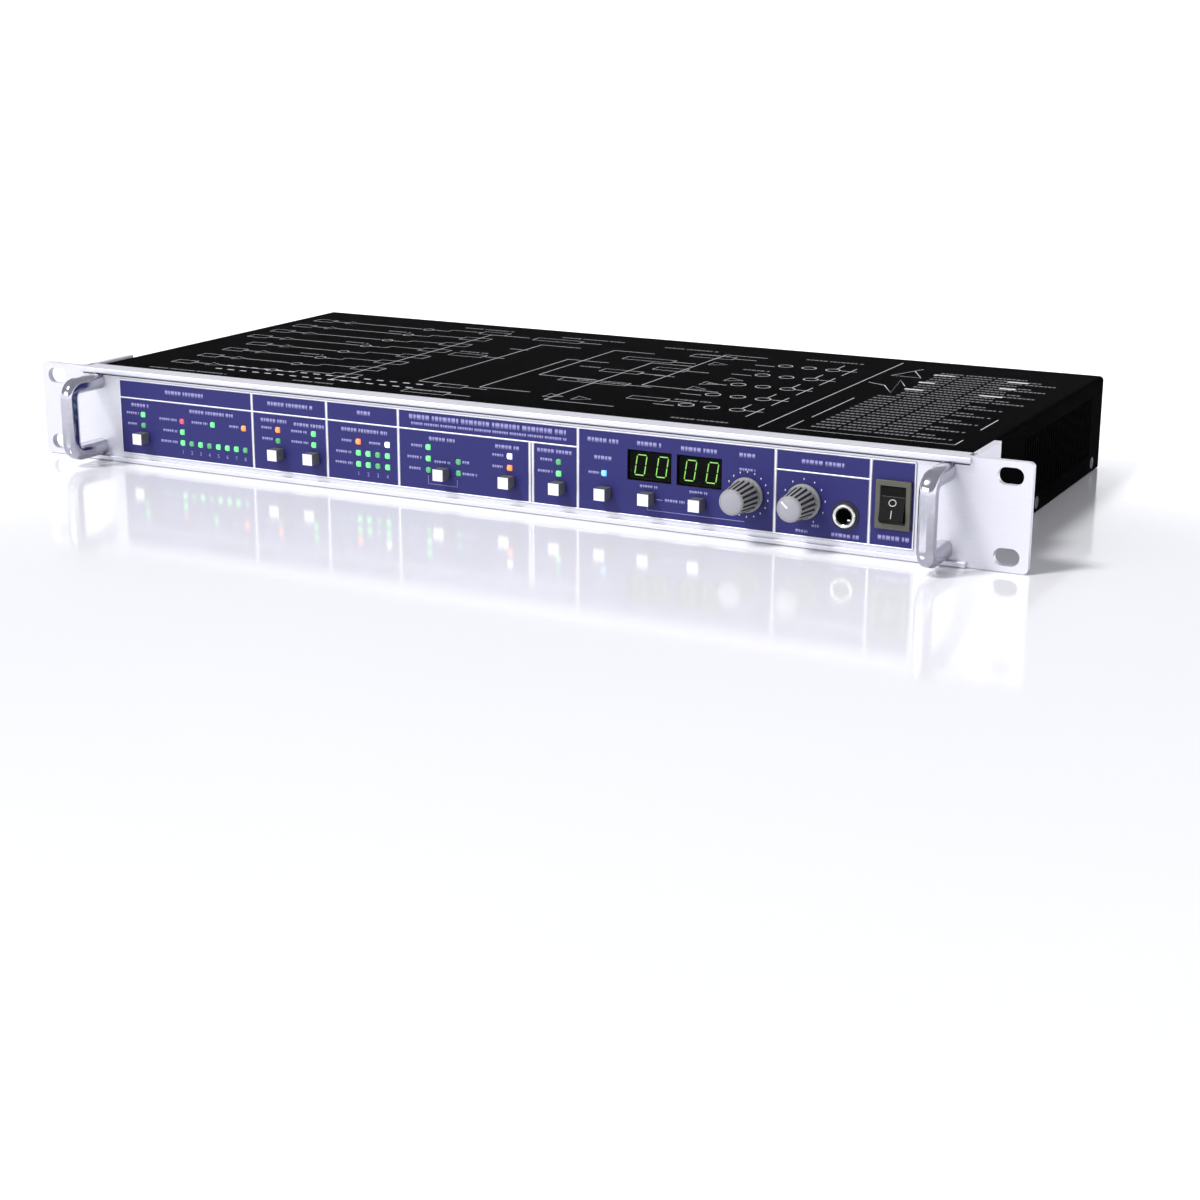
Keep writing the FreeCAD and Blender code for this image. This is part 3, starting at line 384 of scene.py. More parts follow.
# ---- Handles
# Each is one polished aluminium bar bent into a U, tapped at both feet and screwed on from
# behind the panel. Its edges are well rounded and it mirrors the room.
def edit_faces(piece, test=None):
    """Open a piece for editing, with the faces selected whose centre and normal pass."""
    bpy.context.view_layer.objects.active = piece
    if piece.mode == "EDIT":
        bpy.ops.object.mode_set(mode="OBJECT")
    for part in (piece.data.vertices, piece.data.edges):
        part.foreach_set("select", [False] * len(part))
    for face in piece.data.polygons:
        face.select = test is None or test(face.center, face.normal)
    bpy.context.tool_settings.mesh_select_mode = (False, False, True)
    bpy.ops.object.mode_set(mode="EDIT")


def extrude_along(y):
    bpy.ops.mesh.extrude_region_move(TRANSFORM_OT_translate={"value": (0, y, 0)})


def leave_editing():
    bpy.ops.object.mode_set(mode="OBJECT")


def close_up():
    """Leave editing with doubles merged, no face inside, and all faces pointing outwards."""
    bpy.ops.mesh.select_all(action="SELECT")
    bpy.ops.mesh.remove_doubles(threshold=1e-6)
    bpy.ops.mesh.select_all(action="DESELECT")
    bpy.ops.mesh.select_interior_faces()
    bpy.ops.mesh.delete(type="FACE")
    bpy.ops.mesh.select_all(action="SELECT")
    bpy.ops.mesh.normals_make_consistent(inside=False)
    leave_editing()


def soften(piece, width, segments=2, angle=35):
    """Round the sharp edges of a piece and shade it smooth."""
    select_only(piece)
    if width:
        bevel = piece.modifiers.new("soft_edges", "BEVEL")
        bevel.width = width
        bevel.segments = segments
        bevel.limit_method = "ANGLE"
        bevel.angle_limit = math.radians(angle)
        bpy.ops.object.modifier_apply(modifier=bevel.name)
    bpy.ops.object.shade_smooth_by_angle(angle=math.radians(angle))


polished_finish = grained("polished_aluminium", "A4A4AE", "BCBCC6", 2.5 * mm, (0.1, 0.18),
                          Metallic=1.0)
handle_bar = 7.3 * mm
handle_turn = 9.0 * mm
handle_round = 2.5 * mm


def rounded_outline(name, width, depth, corner, steps=5):
    """A closed flat curve with round corners, to sweep along a bar."""
    points = []
    for quarter, (sx, sy) in enumerate(((1, 1), (-1, 1), (-1, -1), (1, -1))):
        for k in range(steps + 1):
            angle = math.pi / 2 * (quarter + k / steps)
            points.append((sx * (width / 2 - corner) + corner * math.cos(angle),
                           sy * (depth / 2 - corner) + corner * math.sin(angle), 0))
    outline = bpy.data.curves.new(name, "CURVE")
    add_path(outline, points, closed=True)
    return link_curve(name, outline)


for side in ("left", "right"):
    low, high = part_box(f"handle_{side}")
    section = rounded_outline("handle_section", high[0] - low[0], handle_bar, handle_round)
    x = (low[0] + high[0]) / 2
    bend = handle_turn - handle_bar / 2
    path = [(x, high[1], low[2] + handle_bar / 2)]
    for middle_z, first in ((low[2] + handle_turn, 270), (high[2] - handle_turn, 180)):
        for turn in range(0, 91, 9):
            angle = math.radians(first - turn)
            path.append((x, low[1] + handle_turn + bend * math.cos(angle),
                         middle_z + bend * math.sin(angle)))
    path.append((x, high[1], high[2] - handle_bar / 2))
    bar = bpy.data.curves.new(f"polished_handle_{side}", "CURVE")
    bar.dimensions = "3D"
    bar.bevel_mode = "OBJECT"
    bar.bevel_object = section
    bar.use_fill_caps = True
    add_path(bar, path)
    handle = to_mesh(bar.name, bar)
    edit_faces(handle)
    close_up()
    soften(handle, 0, angle=40)
    finish_piece(handle, polished_finish, "chassis", "polished_aluminium", f"handle_{side}")
    bpy.data.objects.remove(section)

# ---- The printed foil
# A polyester foil with deep blue ink on its back, glued onto the web of the front. Where the
# ink is left out the bright metal shows, as bars between the groups of controls.
coat(grained("blue_printed_polyester", "282861", "2E2D6B", 0.5 * mm, (0.4, 0.5),
             relief=0.003 * mm, Specular_IOR_Level=0.2), "front_foil")
foil_low, foil_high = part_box("front_foil")
foil_y = foil_low[1]
# Places on the foil are millimetres right of the middle, then above the case's underside.
foil_face = (foil_y, 1)
bar_low, bar_high = foil_low[2] / mm, foil_high[2] / mm
bar_head = 30.8
foil_half = 195
bar_places = (-119.6, -79.2, -41.7, 47.0, 136.4, 176.7)
bars = [((x, bar_low), (x, bar_high)) for x in bar_places]
bars += [((x, bar_low), (x, bar_head)) for x in (23.9, 25.4)]
# Head lines join the bars, except over the displays.
heads = list(zip((-foil_half, *bar_places), bar_places))
thin_bars = [((x, bar_head), (end, bar_head)) for x, end in heads[:4] + heads[5:]]
thin_bars += [((-foil_half, z), (foil_half, z)) for z in (bar_low, bar_high)]
thin_bars += [((x, bar_low), (x, bar_high)) for x in (-foil_half, foil_half)]
bare_finish = grained("bare_metal_under_foil", "DCDCE4", "EFEFF4", 0.3 * mm, (0.3, 0.4),
                      stretch=(0.05, 1, 1), Metallic=0.5)
print_on(foil_face, "separator_bars", bars, 1.35, bare_finish, "printed_foil")
print_on(foil_face, "separator_lines", thin_bars, 0.75, bare_finish, "printed_foil")

# ---- The print on the foil
# Pale lilac ink in place of the captions: plain rows of blocks that say nothing, fine lines
# that tie controls together, dots round the knobs, and the digits of the channels.
# Each group of rows has blocks of one height, and each row a left end, a right end and a level.
captions = {
    2.0: ((-168.5, -146.5, 35.2), (-111, -86.5, 35.2), (-63, -55.5, 35.4),
          (51.5, 66, 34.8), (74.5, 85.5, 35.2), (94.5, 110.5, 35.0), (120.5, 127.5, 34.9),
          (147.5, 165.5, 35.0), (180.5, 193.5, 8.0)),
    1.8: ((-188.5, -178, 27.7), (-155, -130.5, 27.5), (-115, -101, 27.5), (-97, -80.8, 27),
          (-71.5, -47.5, 27.4), (-26, -13, 27.4), (7, 19, 27.3), (27.5, 44, 27.8),
          (54.7, 63.2, 27.4), (161, 173, 6.6)),
    1.3: ((-191.5, -184.5, 23.8), (-191, -185.8, 18.7), (-172.5, -162.5, 22.6),
          (-170.5, -162.5, 17.4), (-172, -162.3, 12.3), (-154, -145, 22.5), (-132.8, -127.6, 22.6),
          (-114.8, -109.2, 24), (-114.5, -108, 19), (-98.5, -89.7, 23.8), (-98.5, -89.4, 19),
          (-71.5, -66.3, 22.4), (-57, -50.6, 22.4), (-74.5, -66.5, 17.2), (-75, -66, 12.3),
          (-35.2, -29.6, 23.7), (-37.2, -29.6, 18.5), (-36.4, -29.7, 13.5), (-23.4, -15.5, 17.4),
          (-9.3, -5.4, 18.5), (-9.3, -2, 13.4), (5.6, 11, 23.5), (5.6, 10.6, 18.5),
          (29, 34.6, 24), (27.8, 34.8, 18.9), (52, 57, 20.8), (76, 84, 17.3), (98.6, 106.6, 17.2),
          (87.5, 96.5, 12.4), (120.7, 127.6, 29), (145.7, 150.8, 6.6), (152.5, 155.5, 9.4)),
}
lilac_ink = grained("lilac_screen_ink", "7472AC", "9895C6", 0.6 * mm, (0.45, 0.6))
titles = {2.3: ((-36, 41.5, 36.3),), 1.3: ((-35, 41.5, 33.4),)}
for word, groups in (("caption", captions), ("title", titles)):
    for number, (height, rows) in enumerate(groups.items(), 1):
        strokes = [stroke for left, right, z in rows
                   for stroke in stroke_row(left, right, z, height)]
        print_on(foil_face, f"{word}_blocks_{number}", strokes, height, lilac_ink,
                 "printed_foil")
ties = [((-26.7, 11), (-26.7, 7.3), (-12, 7.3), (-12, 10.3)),
        ((79.5, 9.9), (79.5, 7.5), (123.4, 7.5)),
        ((83.3, 12.3), (86.5, 12.3)), ((97.5, 12.3), (100.3, 12.3))]
print_on(foil_face, "tie_lines", ties, 0.32, lilac_ink, "printed_foil")
set_x, volume_x, knob_z = 124.2, 149.0, 18.9
dots = [around(set_x, knob_z, 9.3, 150 - 20 * k) for k in range(16)]
dots += [around(volume_x, knob_z, 9.0, angle)
         for angle in (-62, -25, 5, 36, 62, 92, 124, 156, 190, 222)]
dot_size = 0.8
strokes = [((x - dot_size / 4, z), (x + dot_size / 4, z)) for x, z in dots]
print_on(foil_face, "scale_dots", strokes, dot_size, white_ink, "printed_foil")


def write_digit(name, digit, size, x, y, z, turn=0):
    """A number printed on an upright face, turned about Z to face its reader."""
    bpy.ops.object.select_all(action="DESELECT")
    bpy.ops.object.text_add(location=(x, y, z), rotation=(math.pi / 2, 0, turn))
    text = bpy.context.active_object
    text.name = name
    text.data.body = str(digit)
    text.data.size = size
    text.data.extrude = ink_thickness / 2
    text.data.align_x = text.data.align_y = "CENTER"
    text.data.resolution_u = 3
    bpy.ops.object.convert(target="MESH")
    bpy.ops.object.transform_apply(location=True, rotation=True, scale=True)
    return bpy.context.active_object


def join(name, pieces):
    """Make one piece of several."""
    bpy.ops.object.select_all(action="DESELECT")
    for piece in pieces:
        piece.select_set(True)
    bpy.context.view_layer.objects.active = pieces[0]
    bpy.ops.object.join()
    pieces[0].name = pieces[0].data.name = name
    return pieces[0]


led_pitch = 5.05
digit_places = [(k + 1, -159.6 + led_pitch * k) for k in range(8)]
digit_places += [(k + 1, -62.8 + led_pitch * k) for k in range(4)]
digits = join("channel_digits", [
    write_digit("digit", digit, 2.5 * mm, x * mm, foil_y - 0.03 * mm, 8.0 * mm)
    for digit, x in digit_places])
finish_piece(digits, lilac_ink, "chassis", "printed_foil")

# ---- Lights
# Small square windows of cast clear or tinted plastic, pushed through foil and web from
# behind. Each carries the light of a diode to the front and glows a little unevenly.
def solids_of(node):
    """The lowest and highest corners of each separate solid in a CAD node, left to right."""
    mesh = bmesh.new()
    mesh.from_mesh(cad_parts[node].data)
    bmesh.ops.remove_doubles(mesh, verts=mesh.verts, dist=1e-7)
    corners, seen = [], set()
    for first in mesh.verts:
        if first in seen:
            continue
        seen.add(first)
        island, waiting = [], [first]
        while waiting:
            vertex = waiting.pop()
            island.append(tuple(vertex.co))
            for edge in vertex.link_edges:
                other = edge.other_vert(vertex)
                if other not in seen:
                    seen.add(other)
                    waiting.append(other)
        corners.append(([min(c[k] for c in island) for k in range(3)],
                        [max(c[k] for c in island) for k in range(3)]))
    mesh.free()
    return sorted(corners)


def add_block(name, low, high):
    """Start a piece from a block between two corners."""
    bpy.ops.object.select_all(action="DESELECT")
    middle = [(a + b) / 2 for a, b in zip(low, high)]
    bpy.ops.mesh.primitive_cube_add(size=1, location=middle)
    piece = bpy.context.active_object
    piece.name = piece.data.name = name
    piece.scale = [b - a for a, b in zip(low, high)]
    bpy.ops.object.transform_apply(location=True, rotation=True, scale=True)
    return piece


def faces_front(centre, normal):
    return normal.y < -0.9


def faces_back(centre, normal):
    return normal.y > 0.9


def shift_face(piece, test, border, shift):
    """Move the faces that pass along Y, inside a border."""
    edit_faces(piece, test)
    bpy.ops.mesh.inset(thickness=border)
    bpy.ops.transform.translate(value=(0, shift, 0))
    leave_editing()


def glowing(name, dim, bright, strength):
    """Tinted plastic lit from behind, in soft clouds of two close tones."""
    finish, tree, shader, place = new_finish(name, Roughness=0.25, Emission_Strength=strength)
    noise = add_node(tree, "ShaderNodeTexNoise", {"Vector": place, "Scale": 1 / (1.2 * mm)})
    tint(tree, shader, noise.outputs["Fac"], dim, bright, "Emission Color")
    return finish


light_finishes = {colour: glowing(f"{colour}_light_window", *tones) for colour, *tones in (
    ("green", "35B85C", "7FE696", 0.8), ("orange", "F0703A", "FF9650", 0.95),
    ("red", "A83A5A", "D0506A", 0.7), ("white", "E8E8FF", "FFFFFF", 1.0),
    ("blue", "4C9CF4", "8CC4FF", 0.9))}


def round_seams(piece, width, segments=3):
    """Round the marked edges of a piece, and take the marks off."""
    select_only(piece)
    marked = [edge.index for edge in piece.data.edges if edge.use_seam]
    edit_faces(piece)
    bpy.ops.mesh.select_mode(type="EDGE")
    bpy.ops.mesh.select_all(action="DESELECT")
    leave_editing()
    for number in marked:
        piece.data.edges[number].select = True
    bpy.ops.object.mode_set(mode="EDIT")
    bpy.ops.mesh.mark_seam(clear=True)
    bpy.ops.mesh.bevel(offset=width, segments=segments)
    bpy.ops.mesh.select_mode(type="FACE")
    leave_editing()


def mark_edges(piece, test):
    """Mark the edges whose two ends pass."""
    for edge in piece.data.edges:
        edge.use_seam = test(*(piece.data.vertices[k].co for k in edge.vertices))


def light_windows(name, places):
    """Square windows with round corners and a face that stands a little proud."""
    corner, lip, proud = 0.8 * mm, 0.35 * mm, 0.25 * mm
    windows = []
    for low, high in places:
        window = add_block(name, low, high)
        mark_edges(window, lambda start, end: abs(start.y - end.y) > (high[1] - low[1]) / 2)
        round_seams(window, corner)
        shift_face(window, faces_front, lip, -proud)
        windows.append(window)
    whole = join(name, windows)
    soften(whole, 0.15 * mm)
    return whole


# Some channels are quiet, so their lights are dim.
green_windows = light_windows("green_light_windows", solids_of("green_leds"))
finish_piece(green_windows, light_finishes["green"], "chassis", "green_lens", "green_leds")
green_windows.data.materials.append(glowing("dim_green_light_window", "2F7A52", "55A872", 0.55))
quiet = ((-154.55, 12.3), (-144.45, 12.3), (-124.25, 12.3), (-182, 18.45), (-52.7, 12.3),
         (-52.7, 17.35), (-105.9, 18.45), (-26.6, 13.4), (-11.4, 18.45), (-11.4, 13.4),
         (37.7, 23.5))
for face in green_windows.data.polygons:
    for x, z in quiet:
        if max(abs(face.center.x - x * mm), abs(face.center.z - z * mm)) < 1.6 * mm:
            face.material_index = 1
finish_piece(light_windows("orange_light_windows", solids_of("orange_leds")),
             light_finishes["orange"], "chassis", "orange_lens", "orange_leds")
for place, colour, where in zip(solids_of("status_leds"), ("red", "white", "white", "blue"),
                                ("channel", "option", "state", "matrix")):
    finish_piece(light_windows(f"{where}_light_window", [place]), light_finishes[colour],
                 "chassis", "clear_lens", "status_leds")

def middle_of(low, high):
    """The middle of a box as seen along Y."""
    return (low[0] + high[0]) / 2, (low[2] + high[2]) / 2


# ---- Displays
# Two black windows with a two-digit numeric display behind each. The digits are slanted
# strokes of lit segments, set a little back behind the window's edge.
window_finish = grained("smoked_display_window", "020302", "060705", 1.5 * mm, (0.2, 0.3),
                        Specular_IOR_Level=0.05)
segment_finish = glowing("lit_segment", "5A9A3C", "8CC862", 0.75)
window_set_back = 1.2 * mm
width, height, slant = 4.4 * mm, 8.6 * mm, 0.15
corners = [(-1, -1), (1, -1), (1, 1), (-1, 1)]
windows, digit_strokes = [], []
for low, high in solids_of("gain_displays"):
    window = add_block("display", low, high)
    shift_face(window, faces_front, 0.5 * mm, window_set_back)
    soften(window, 0.12 * mm)
    windows.append(window)
    middle_x, middle_z = middle_of(low, high)
    face_y = low[1] + window_set_back - 0.03 * mm
    for place in (-4.4 * mm, 5.4 * mm):
        for (ax, az), (bx, bz) in zip(corners, corners[1:] + corners[:1]):
            runs = ((0.07, 0.93),) if az == bz else ((0.06, 0.47), (0.53, 0.94))
            for start, end in runs:
                stroke = []
                for share in (start, end):
                    rise = (az + (bz - az) * share) * height / 2
                    along = (ax + (bx - ax) * share) * width / 2
                    stroke.append((middle_x + place + along + slant * rise, face_y,
                                   middle_z + rise))
                digit_strokes.append(stroke)
finish_piece(join("display_windows", windows), window_finish, "chassis", "display_glass",
             "gain_displays")
print_lines("display_segments", digit_strokes, 0.5 * mm, (face_y, 1), segment_finish,
            "display_glass")

# ---- Push buttons
# Moulded caps of light grey ABS on small switches behind the web. The caps' faces are
# slightly dished, and their sides are painted a darker grey as shade.
cap_finish = grained("button_face_abs", "DCDCE6", "ECECF4", 0.5 * mm, (0.3, 0.42),
                     relief=0.004 * mm)
cap_side_shade_finish = grained("button_abs_painted_side_shade", "4C4C54", "5E5E68", 0.5 * mm, (0.4, 0.55),
                          relief=0.006 * mm)
collar = 1.0 * mm
for number in range(1, 10):
    low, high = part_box(f"front_button_{number}")
    cap = add_block(f"button_cap_{number}", (low[0] + collar, low[1], low[2] + collar),
                    (high[0] - collar, high[1], high[2] - collar))
    edit_faces(cap, faces_front)
    bpy.ops.mesh.inset(thickness=0.35 * mm)
    bpy.ops.mesh.inset(thickness=0.5 * mm)
    bpy.ops.transform.translate(value=(0, 0.15 * mm, 0))
    edit_faces(cap, faces_back)
    bpy.ops.mesh.inset(thickness=0)
    bpy.ops.transform.resize(value=(1.4, 1, 1.4),
                             center_override=[(a + b) / 2 for a, b in zip(low, high)])
    extrude_along(0.01 * mm)
    leave_editing()
    soften(cap, 0.3 * mm, segments=3)
    finish_piece(cap, cap_side_shade_finish, f"front_button_{number}", "light_grey_plastic",
                 f"front_button_{number}")
    # The front face keeps the light grey; the rest of the cap is painted darker as shade.
    cap.data.materials.append(cap_finish)
    for face in cap.data.polygons:
        if face.normal.y < -0.6 and face.center.y < low[1] + 0.5 * mm:
            face.material_index = 1


# ---- Knobs
# Moulded knobs with a wide skirt and a ribbed grip, pushed onto the control shafts. The grey
# cap is a separate flat disc in the end, and the volume knob's has a white pointer.
def turned(name, middle, steps, sides=48, ring=False):
    """Turn a piece about a line along Y: each step is a radius and a place on Y. A ring is
    open in its middle, so its last step runs back to its first."""
    x, z = middle
    bpy.ops.object.select_all(action="DESELECT")
    radius, level = steps[0]
    bpy.ops.mesh.primitive_circle_add(vertices=sides, radius=radius,
                                      fill_type="NOTHING" if ring else "NGON",
                                      location=(x, level, z), rotation=(math.pi / 2, 0, 0))
    piece = bpy.context.active_object
    piece.name = piece.data.name = name
    bpy.ops.object.transform_apply(location=True, rotation=True, scale=True)
    edit_faces(piece)
    if ring:
        bpy.ops.mesh.select_mode(type="EDGE")
        bpy.ops.mesh.select_all(action="SELECT")
    for wider, further in steps[1:] + (steps[:1] if ring else []):
        extrude_along(further - level)
        grow = wider / radius
        bpy.ops.transform.resize(value=(grow, 1, grow), center_override=(x, further, z))
        radius, level = wider, further
    close_up()
    return piece


knob_finish = grained("knob_mid_grey_abs", "7E7E7C", "9A9A98", 0.6 * mm, (0.35, 0.5),
                      relief=0.005 * mm)
# The same grey plastic, painted dark grey as shade in the grooves between the ribs.
knob_groove_shade_finish = grained("knob_abs_painted_groove_shade", "1E1E20", "38383A", 0.6 * mm,
                             (0.5, 0.65))
knob_cap_finish = grained("knob_cap_light_grey_abs", "8C8C94", "9E9EA6", 0.5 * mm, (0.35, 0.5),
                          relief=0.004 * mm)
rib_count = 18
grip, cap = 6.7 * mm, 5.4 * mm
for word in ("set", "volume"):
    body = f"{word}_control"
    low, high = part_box(f"{word}_knob")
    x, z = middle_of(low, high)
    skirt, tip, back = (high[0] - low[0]) / 2, low[1], high[1]
    grip_root = back - 2.5 * mm
    knob = turned(f"{word}_grip", (x, z),
                  [(skirt, back), (skirt, back - 1.0 * mm), (skirt - 0.6 * mm, back - 1.6 * mm),
                   (grip, grip_root), (cap, tip + 0.9 * mm), (cap - 0.7 * mm, tip + 0.1 * mm),
                   (cap - 1.0 * mm, tip + 0.1 * mm), (cap - 1.0 * mm, tip + 0.3 * mm)],
                  sides=2 * rib_count)
    edit_faces(knob, lambda centre, normal: tip + 2 * mm < centre.y < grip_root - 1 * mm
               and round((math.degrees(math.atan2(centre.z - z, centre.x - x)) % 360)
                         * rib_count / 180 - 0.5) % 2 == 0)
    bpy.ops.mesh.inset(thickness=0.12 * mm, depth=-0.55 * mm, use_individual=True)
    leave_editing()
    soften(knob, 0.14 * mm, angle=25)
    finish_piece(knob, knob_finish, body, "knob_plastic", f"{word}_knob")
    knob.data.materials.append(knob_groove_shade_finish)
    # The grooves, which lie deeper than the ribs' tapered outline, are painted dark grey as shade.
    for face in knob.data.polygons:
        share = (face.center.y - tip - 0.9 * mm) / (grip_root - tip - 0.9 * mm)
        reach = math.hypot(face.center.x - x, face.center.z - z)
        if 0.1 < share < 0.97 and reach < cap + (grip - cap) * share - 0.22 * mm:
            face.material_index = 1
    face = turned(f"{word}_cap", (x, z), [(cap - 1.05 * mm, tip + 0.5 * mm),
                                          (cap - 1.05 * mm, tip + 0.15 * mm),
                                          (cap - 1.35 * mm, tip + 0.02 * mm)])
    rim = turned(f"{word}_rim", (x, z), [(cap - 0.75 * mm, tip + 0.5 * mm),
                                         (cap - 0.65 * mm, tip + 0.12 * mm),
                                         (cap - 0.9 * mm, tip + 0.06 * mm),
                                         (cap - 1.1 * mm, tip + 0.3 * mm)], ring=True)
    face = join(f"{word}_cap", [face, rim])
    soften(face, 0, angle=25)
    finish_piece(face, knob_cap_finish, body, "knob_plastic")
    collar = turned(f"{word}_skirt_rim", (x, z), [(skirt - 0.02 * mm, back - 0.8 * mm),
                                                  (skirt - 0.3 * mm, back - 1.6 * mm),
                                                  (skirt - 0.9 * mm, back - 1.7 * mm)],
                    ring=True)
    soften(collar, 0.08 * mm)
    finish_piece(collar, knob_finish, body, "knob_plastic")
# The pointer is on the volume knob, the last of the two.
pointer_angle = math.radians(48)
pointer = [(x - reach * math.sin(pointer_angle), tip, z + reach * math.cos(pointer_angle))
           for reach in (0.6 * mm, 4.3 * mm)]
print_lines("volume_pointer", [pointer], 1.5 * mm, (tip, 1), white_ink, "knob_plastic", body)
shaft_finish = grained("turned_brass_nickelled", "A8A8A0", "C2C2BA", 0.3 * mm, (0.2, 0.3),
                       Metallic=1.0)
coat(shaft_finish, "set_shaft", "volume_shaft")
coat(grained("zinc_die_cast_control", "7C7C80", "98989C", 0.6 * mm, (0.4, 0.55), Metallic=0.9),
     "set_encoder", "volume_potentiometer")

# ---- Phones jack
# A black moulded body behind the panel, its threaded sleeve fixed by a nickel-plated ring
# nut on a black washer. Inside the bore one contact spring shows as a bright glint.
jack_finish = grained("black_moulded_jack", "08080A", "121214", 0.5 * mm, (0.35, 0.5))
nickel_finish = grained("nickel_plate", "C8C8C4", "E2E2DE", 0.8 * mm, (0.12, 0.22), Metallic=1.0)
low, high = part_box("phones_jack")
jack_x, jack_z = (low[0] + high[0]) / 2, 15.0 * mm
housing, nut, sleeve, bore, washer = 6.2 * mm, 4.9 * mm, 4.4 * mm, 3.2 * mm, 5.8 * mm
tip, web_y = low[1], foil_y + 4 * mm
jack_body = turned("jack_body", (jack_x, jack_z), [
    (housing, high[1]), (housing, web_y), (sleeve, web_y), (sleeve, foil_y), (washer, foil_y),
    (washer, foil_y - 0.45 * mm), (nut - 0.3 * mm, foil_y - 0.5 * mm),
    (nut - 0.4 * mm, tip + 0.4 * mm), (bore, tip + 0.35 * mm), (bore, tip + 14 * mm)])
soften(jack_body, 0, angle=30)
finish_piece(jack_body, jack_finish, "chassis", "black_plastic", "phones_jack")
jack_ring = turned("jack_ring", (jack_x, jack_z), [
    (nut, foil_y - 0.5 * mm), (nut, tip + 0.5 * mm), (nut - 0.45 * mm, tip),
    (sleeve - 0.45 * mm, tip), (bore + 0.1 * mm, tip + 0.5 * mm),
    (bore + 0.1 * mm, tip + 1.1 * mm)], ring=True)
soften(jack_ring, 0.1 * mm, angle=30)
finish_piece(jack_ring, nickel_finish, "chassis", "nickel")
spring = add_block("jack_spring", (jack_x + 0.6 * mm, tip + 2.5 * mm, jack_z - 2.6 * mm),
                   (jack_x + 2.2 * mm, tip + 9 * mm, jack_z - 1.6 * mm))
soften(spring, 0.3 * mm)
finish_piece(spring, nickel_finish, "chassis", "nickel")

# ---- Power switch
# A rocker in a bezel of olive-grey moulded plastic. The rocker is black with a fold, along which
# a thin olive-grey line is painted as a highlight, and its off and on signs, a ring and a bar,
# are pad printed in white.
bezel_finish = grained("olive_grey_moulded_bezel", "47463D", "56554C", 0.4 * mm, (0.4, 0.55),
                       relief=0.006 * mm)
coat(grained("black_rocker_abs", "060605", "0D0D0C", 0.4 * mm, (0.35, 0.45),
             relief=0.004 * mm, Specular_IOR_Level=0.1), "power_rocker")
low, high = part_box("power_bezel")
rocker_low, rocker_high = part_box("power_rocker")
power_x, power_z = middle_of(low, high)
rocker_gap, bezel_edge, bezel_depth = 0.25 * mm, 0.3 * mm, 9 * mm
bezel = add_block("switch_bezel", low, (high[0], foil_y, high[2]))
edit_faces(bezel, faces_front)
bpy.ops.mesh.inset(thickness=bezel_edge)
shrink = [1, 1, 1]
for axis in (0, 2):
    half_window = (rocker_high[axis] - rocker_low[axis]) / 2 + rocker_gap
    shrink[axis] = half_window / ((high[axis] - low[axis]) / 2 - bezel_edge)
extrude_along(0)
bpy.ops.transform.resize(value=shrink, center_override=(power_x, low[1], power_z))
extrude_along(bezel_depth)
leave_editing()
soften(bezel, 0.45 * mm, segments=3)
finish_piece(bezel, bezel_finish, "chassis", "olive_plastic", "power_bezel")

pivot_y, fold_rise, upper_flat, slope = foil_y + 0.7 * mm, 3.3 * mm, 1.6 * mm, 0.3


def on_rocker(x, rise):
    """A place on the rocker's face, so far above its pivot."""
    lean = slope * max(fold_rise - rise, 0)
    return (power_x + x, pivot_y - upper_flat - lean, power_z + rise)


ring = [on_rocker(1.5 * x * mm, (1.0 + 1.25 * z) * mm) for x, z in ring_path(0, 0, 1, 12)]
signs = [ring, [on_rocker(0, -1.9 * mm), on_rocker(0, -5.0 * mm)]]
edge = (rocker_high[0] - rocker_low[0]) / 2 - 0.2 * mm
# A thin olive-grey line along the fold is a painted highlight, where the fold's edge catches the
# light.
fold_highlight_path = [on_rocker(-edge, fold_rise), on_rocker(edge, fold_rise)]
print_lines("painted_fold_highlight", [fold_highlight_path], 0.2 * mm, (None, None), bezel_finish, "olive_plastic",
            "power_rocker")
print_lines("rocker_signs", signs, 0.35 * mm, (None, None), white_ink, "olive_plastic",
            "power_rocker")

# ---- Rear panel print
# White ink on the powder coat: lines between the groups of sockets, plain rows of blocks in
# place of captions, and the numbers of the channel pairs above and below each socket.
rear_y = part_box("base_tray")[1][1]
# Places on the rear panel are measured like those on the foil.
rear_face = (rear_y, 1)
dividers = [((x, low), (x, 38)) for x, low in
            ((143, 4), (105, 30.6), (81.5, 3.8), (53, 4), (-48.3, 4), (-152.5, 4))]
dividers.append(((109, 22.9), (143, 22.9)))
print_on(rear_face, "rear_dividers", dividers, 0.8, white_ink, "black_steel")
rear_captions = ((174, 203, 36, 1.6), (174, 203, 4, 1.6), (150, 162, 9, 1.4),
                 (126, 136, 20, 1.8), (111, 118, 20, 1.8), (136.5, 140.5, 30, 1.4),
                 (55, 66, 38.5, 1.8), (-2, 18, 39, 1.8), (-116, -92, 39.2, 1.8),
                 (-180, -172, 37, 1.8), (-170, -160, 29, 1.8), (-189, -182, 29, 1.8),
                 (55.5, 60.5, 21.5, 1.4), (55.5, 60.5, 12, 1.4))
for number, (left, right, z, height) in enumerate(rear_captions, 1):
    print_on(rear_face, f"rear_blocks_{number}", stroke_row(left, right, z, height), height,
             faint_ink, "black_steel")
pairs = ("7/8", "5/6", "3/4", "1/2")
tabs = [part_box(f"latch_tab_{k}") for k in range(1, 5)]
male_boxes = sorted(solids_of("xlr_male_sockets"), reverse=True)
numbers = []
for boxes, places in ((male_boxes, ((0, 34.6), (0, 3.6))), (tabs, ((-8.5, 35.0), (0, 3.6)))):
    for pair, box in zip(pairs, boxes):
        numbers += [(pair, middle_of(*box)[0] + aside * mm, z * mm) for aside, z in places]
pair_numbers = join("pair_numbers", [
    write_digit("pair", pair, 3.2 * mm, x, rear_y + 0.03 * mm, z, turn=math.pi)
    for pair, x, z in numbers])
finish_piece(pair_numbers, white_ink, "chassis", "black_steel")
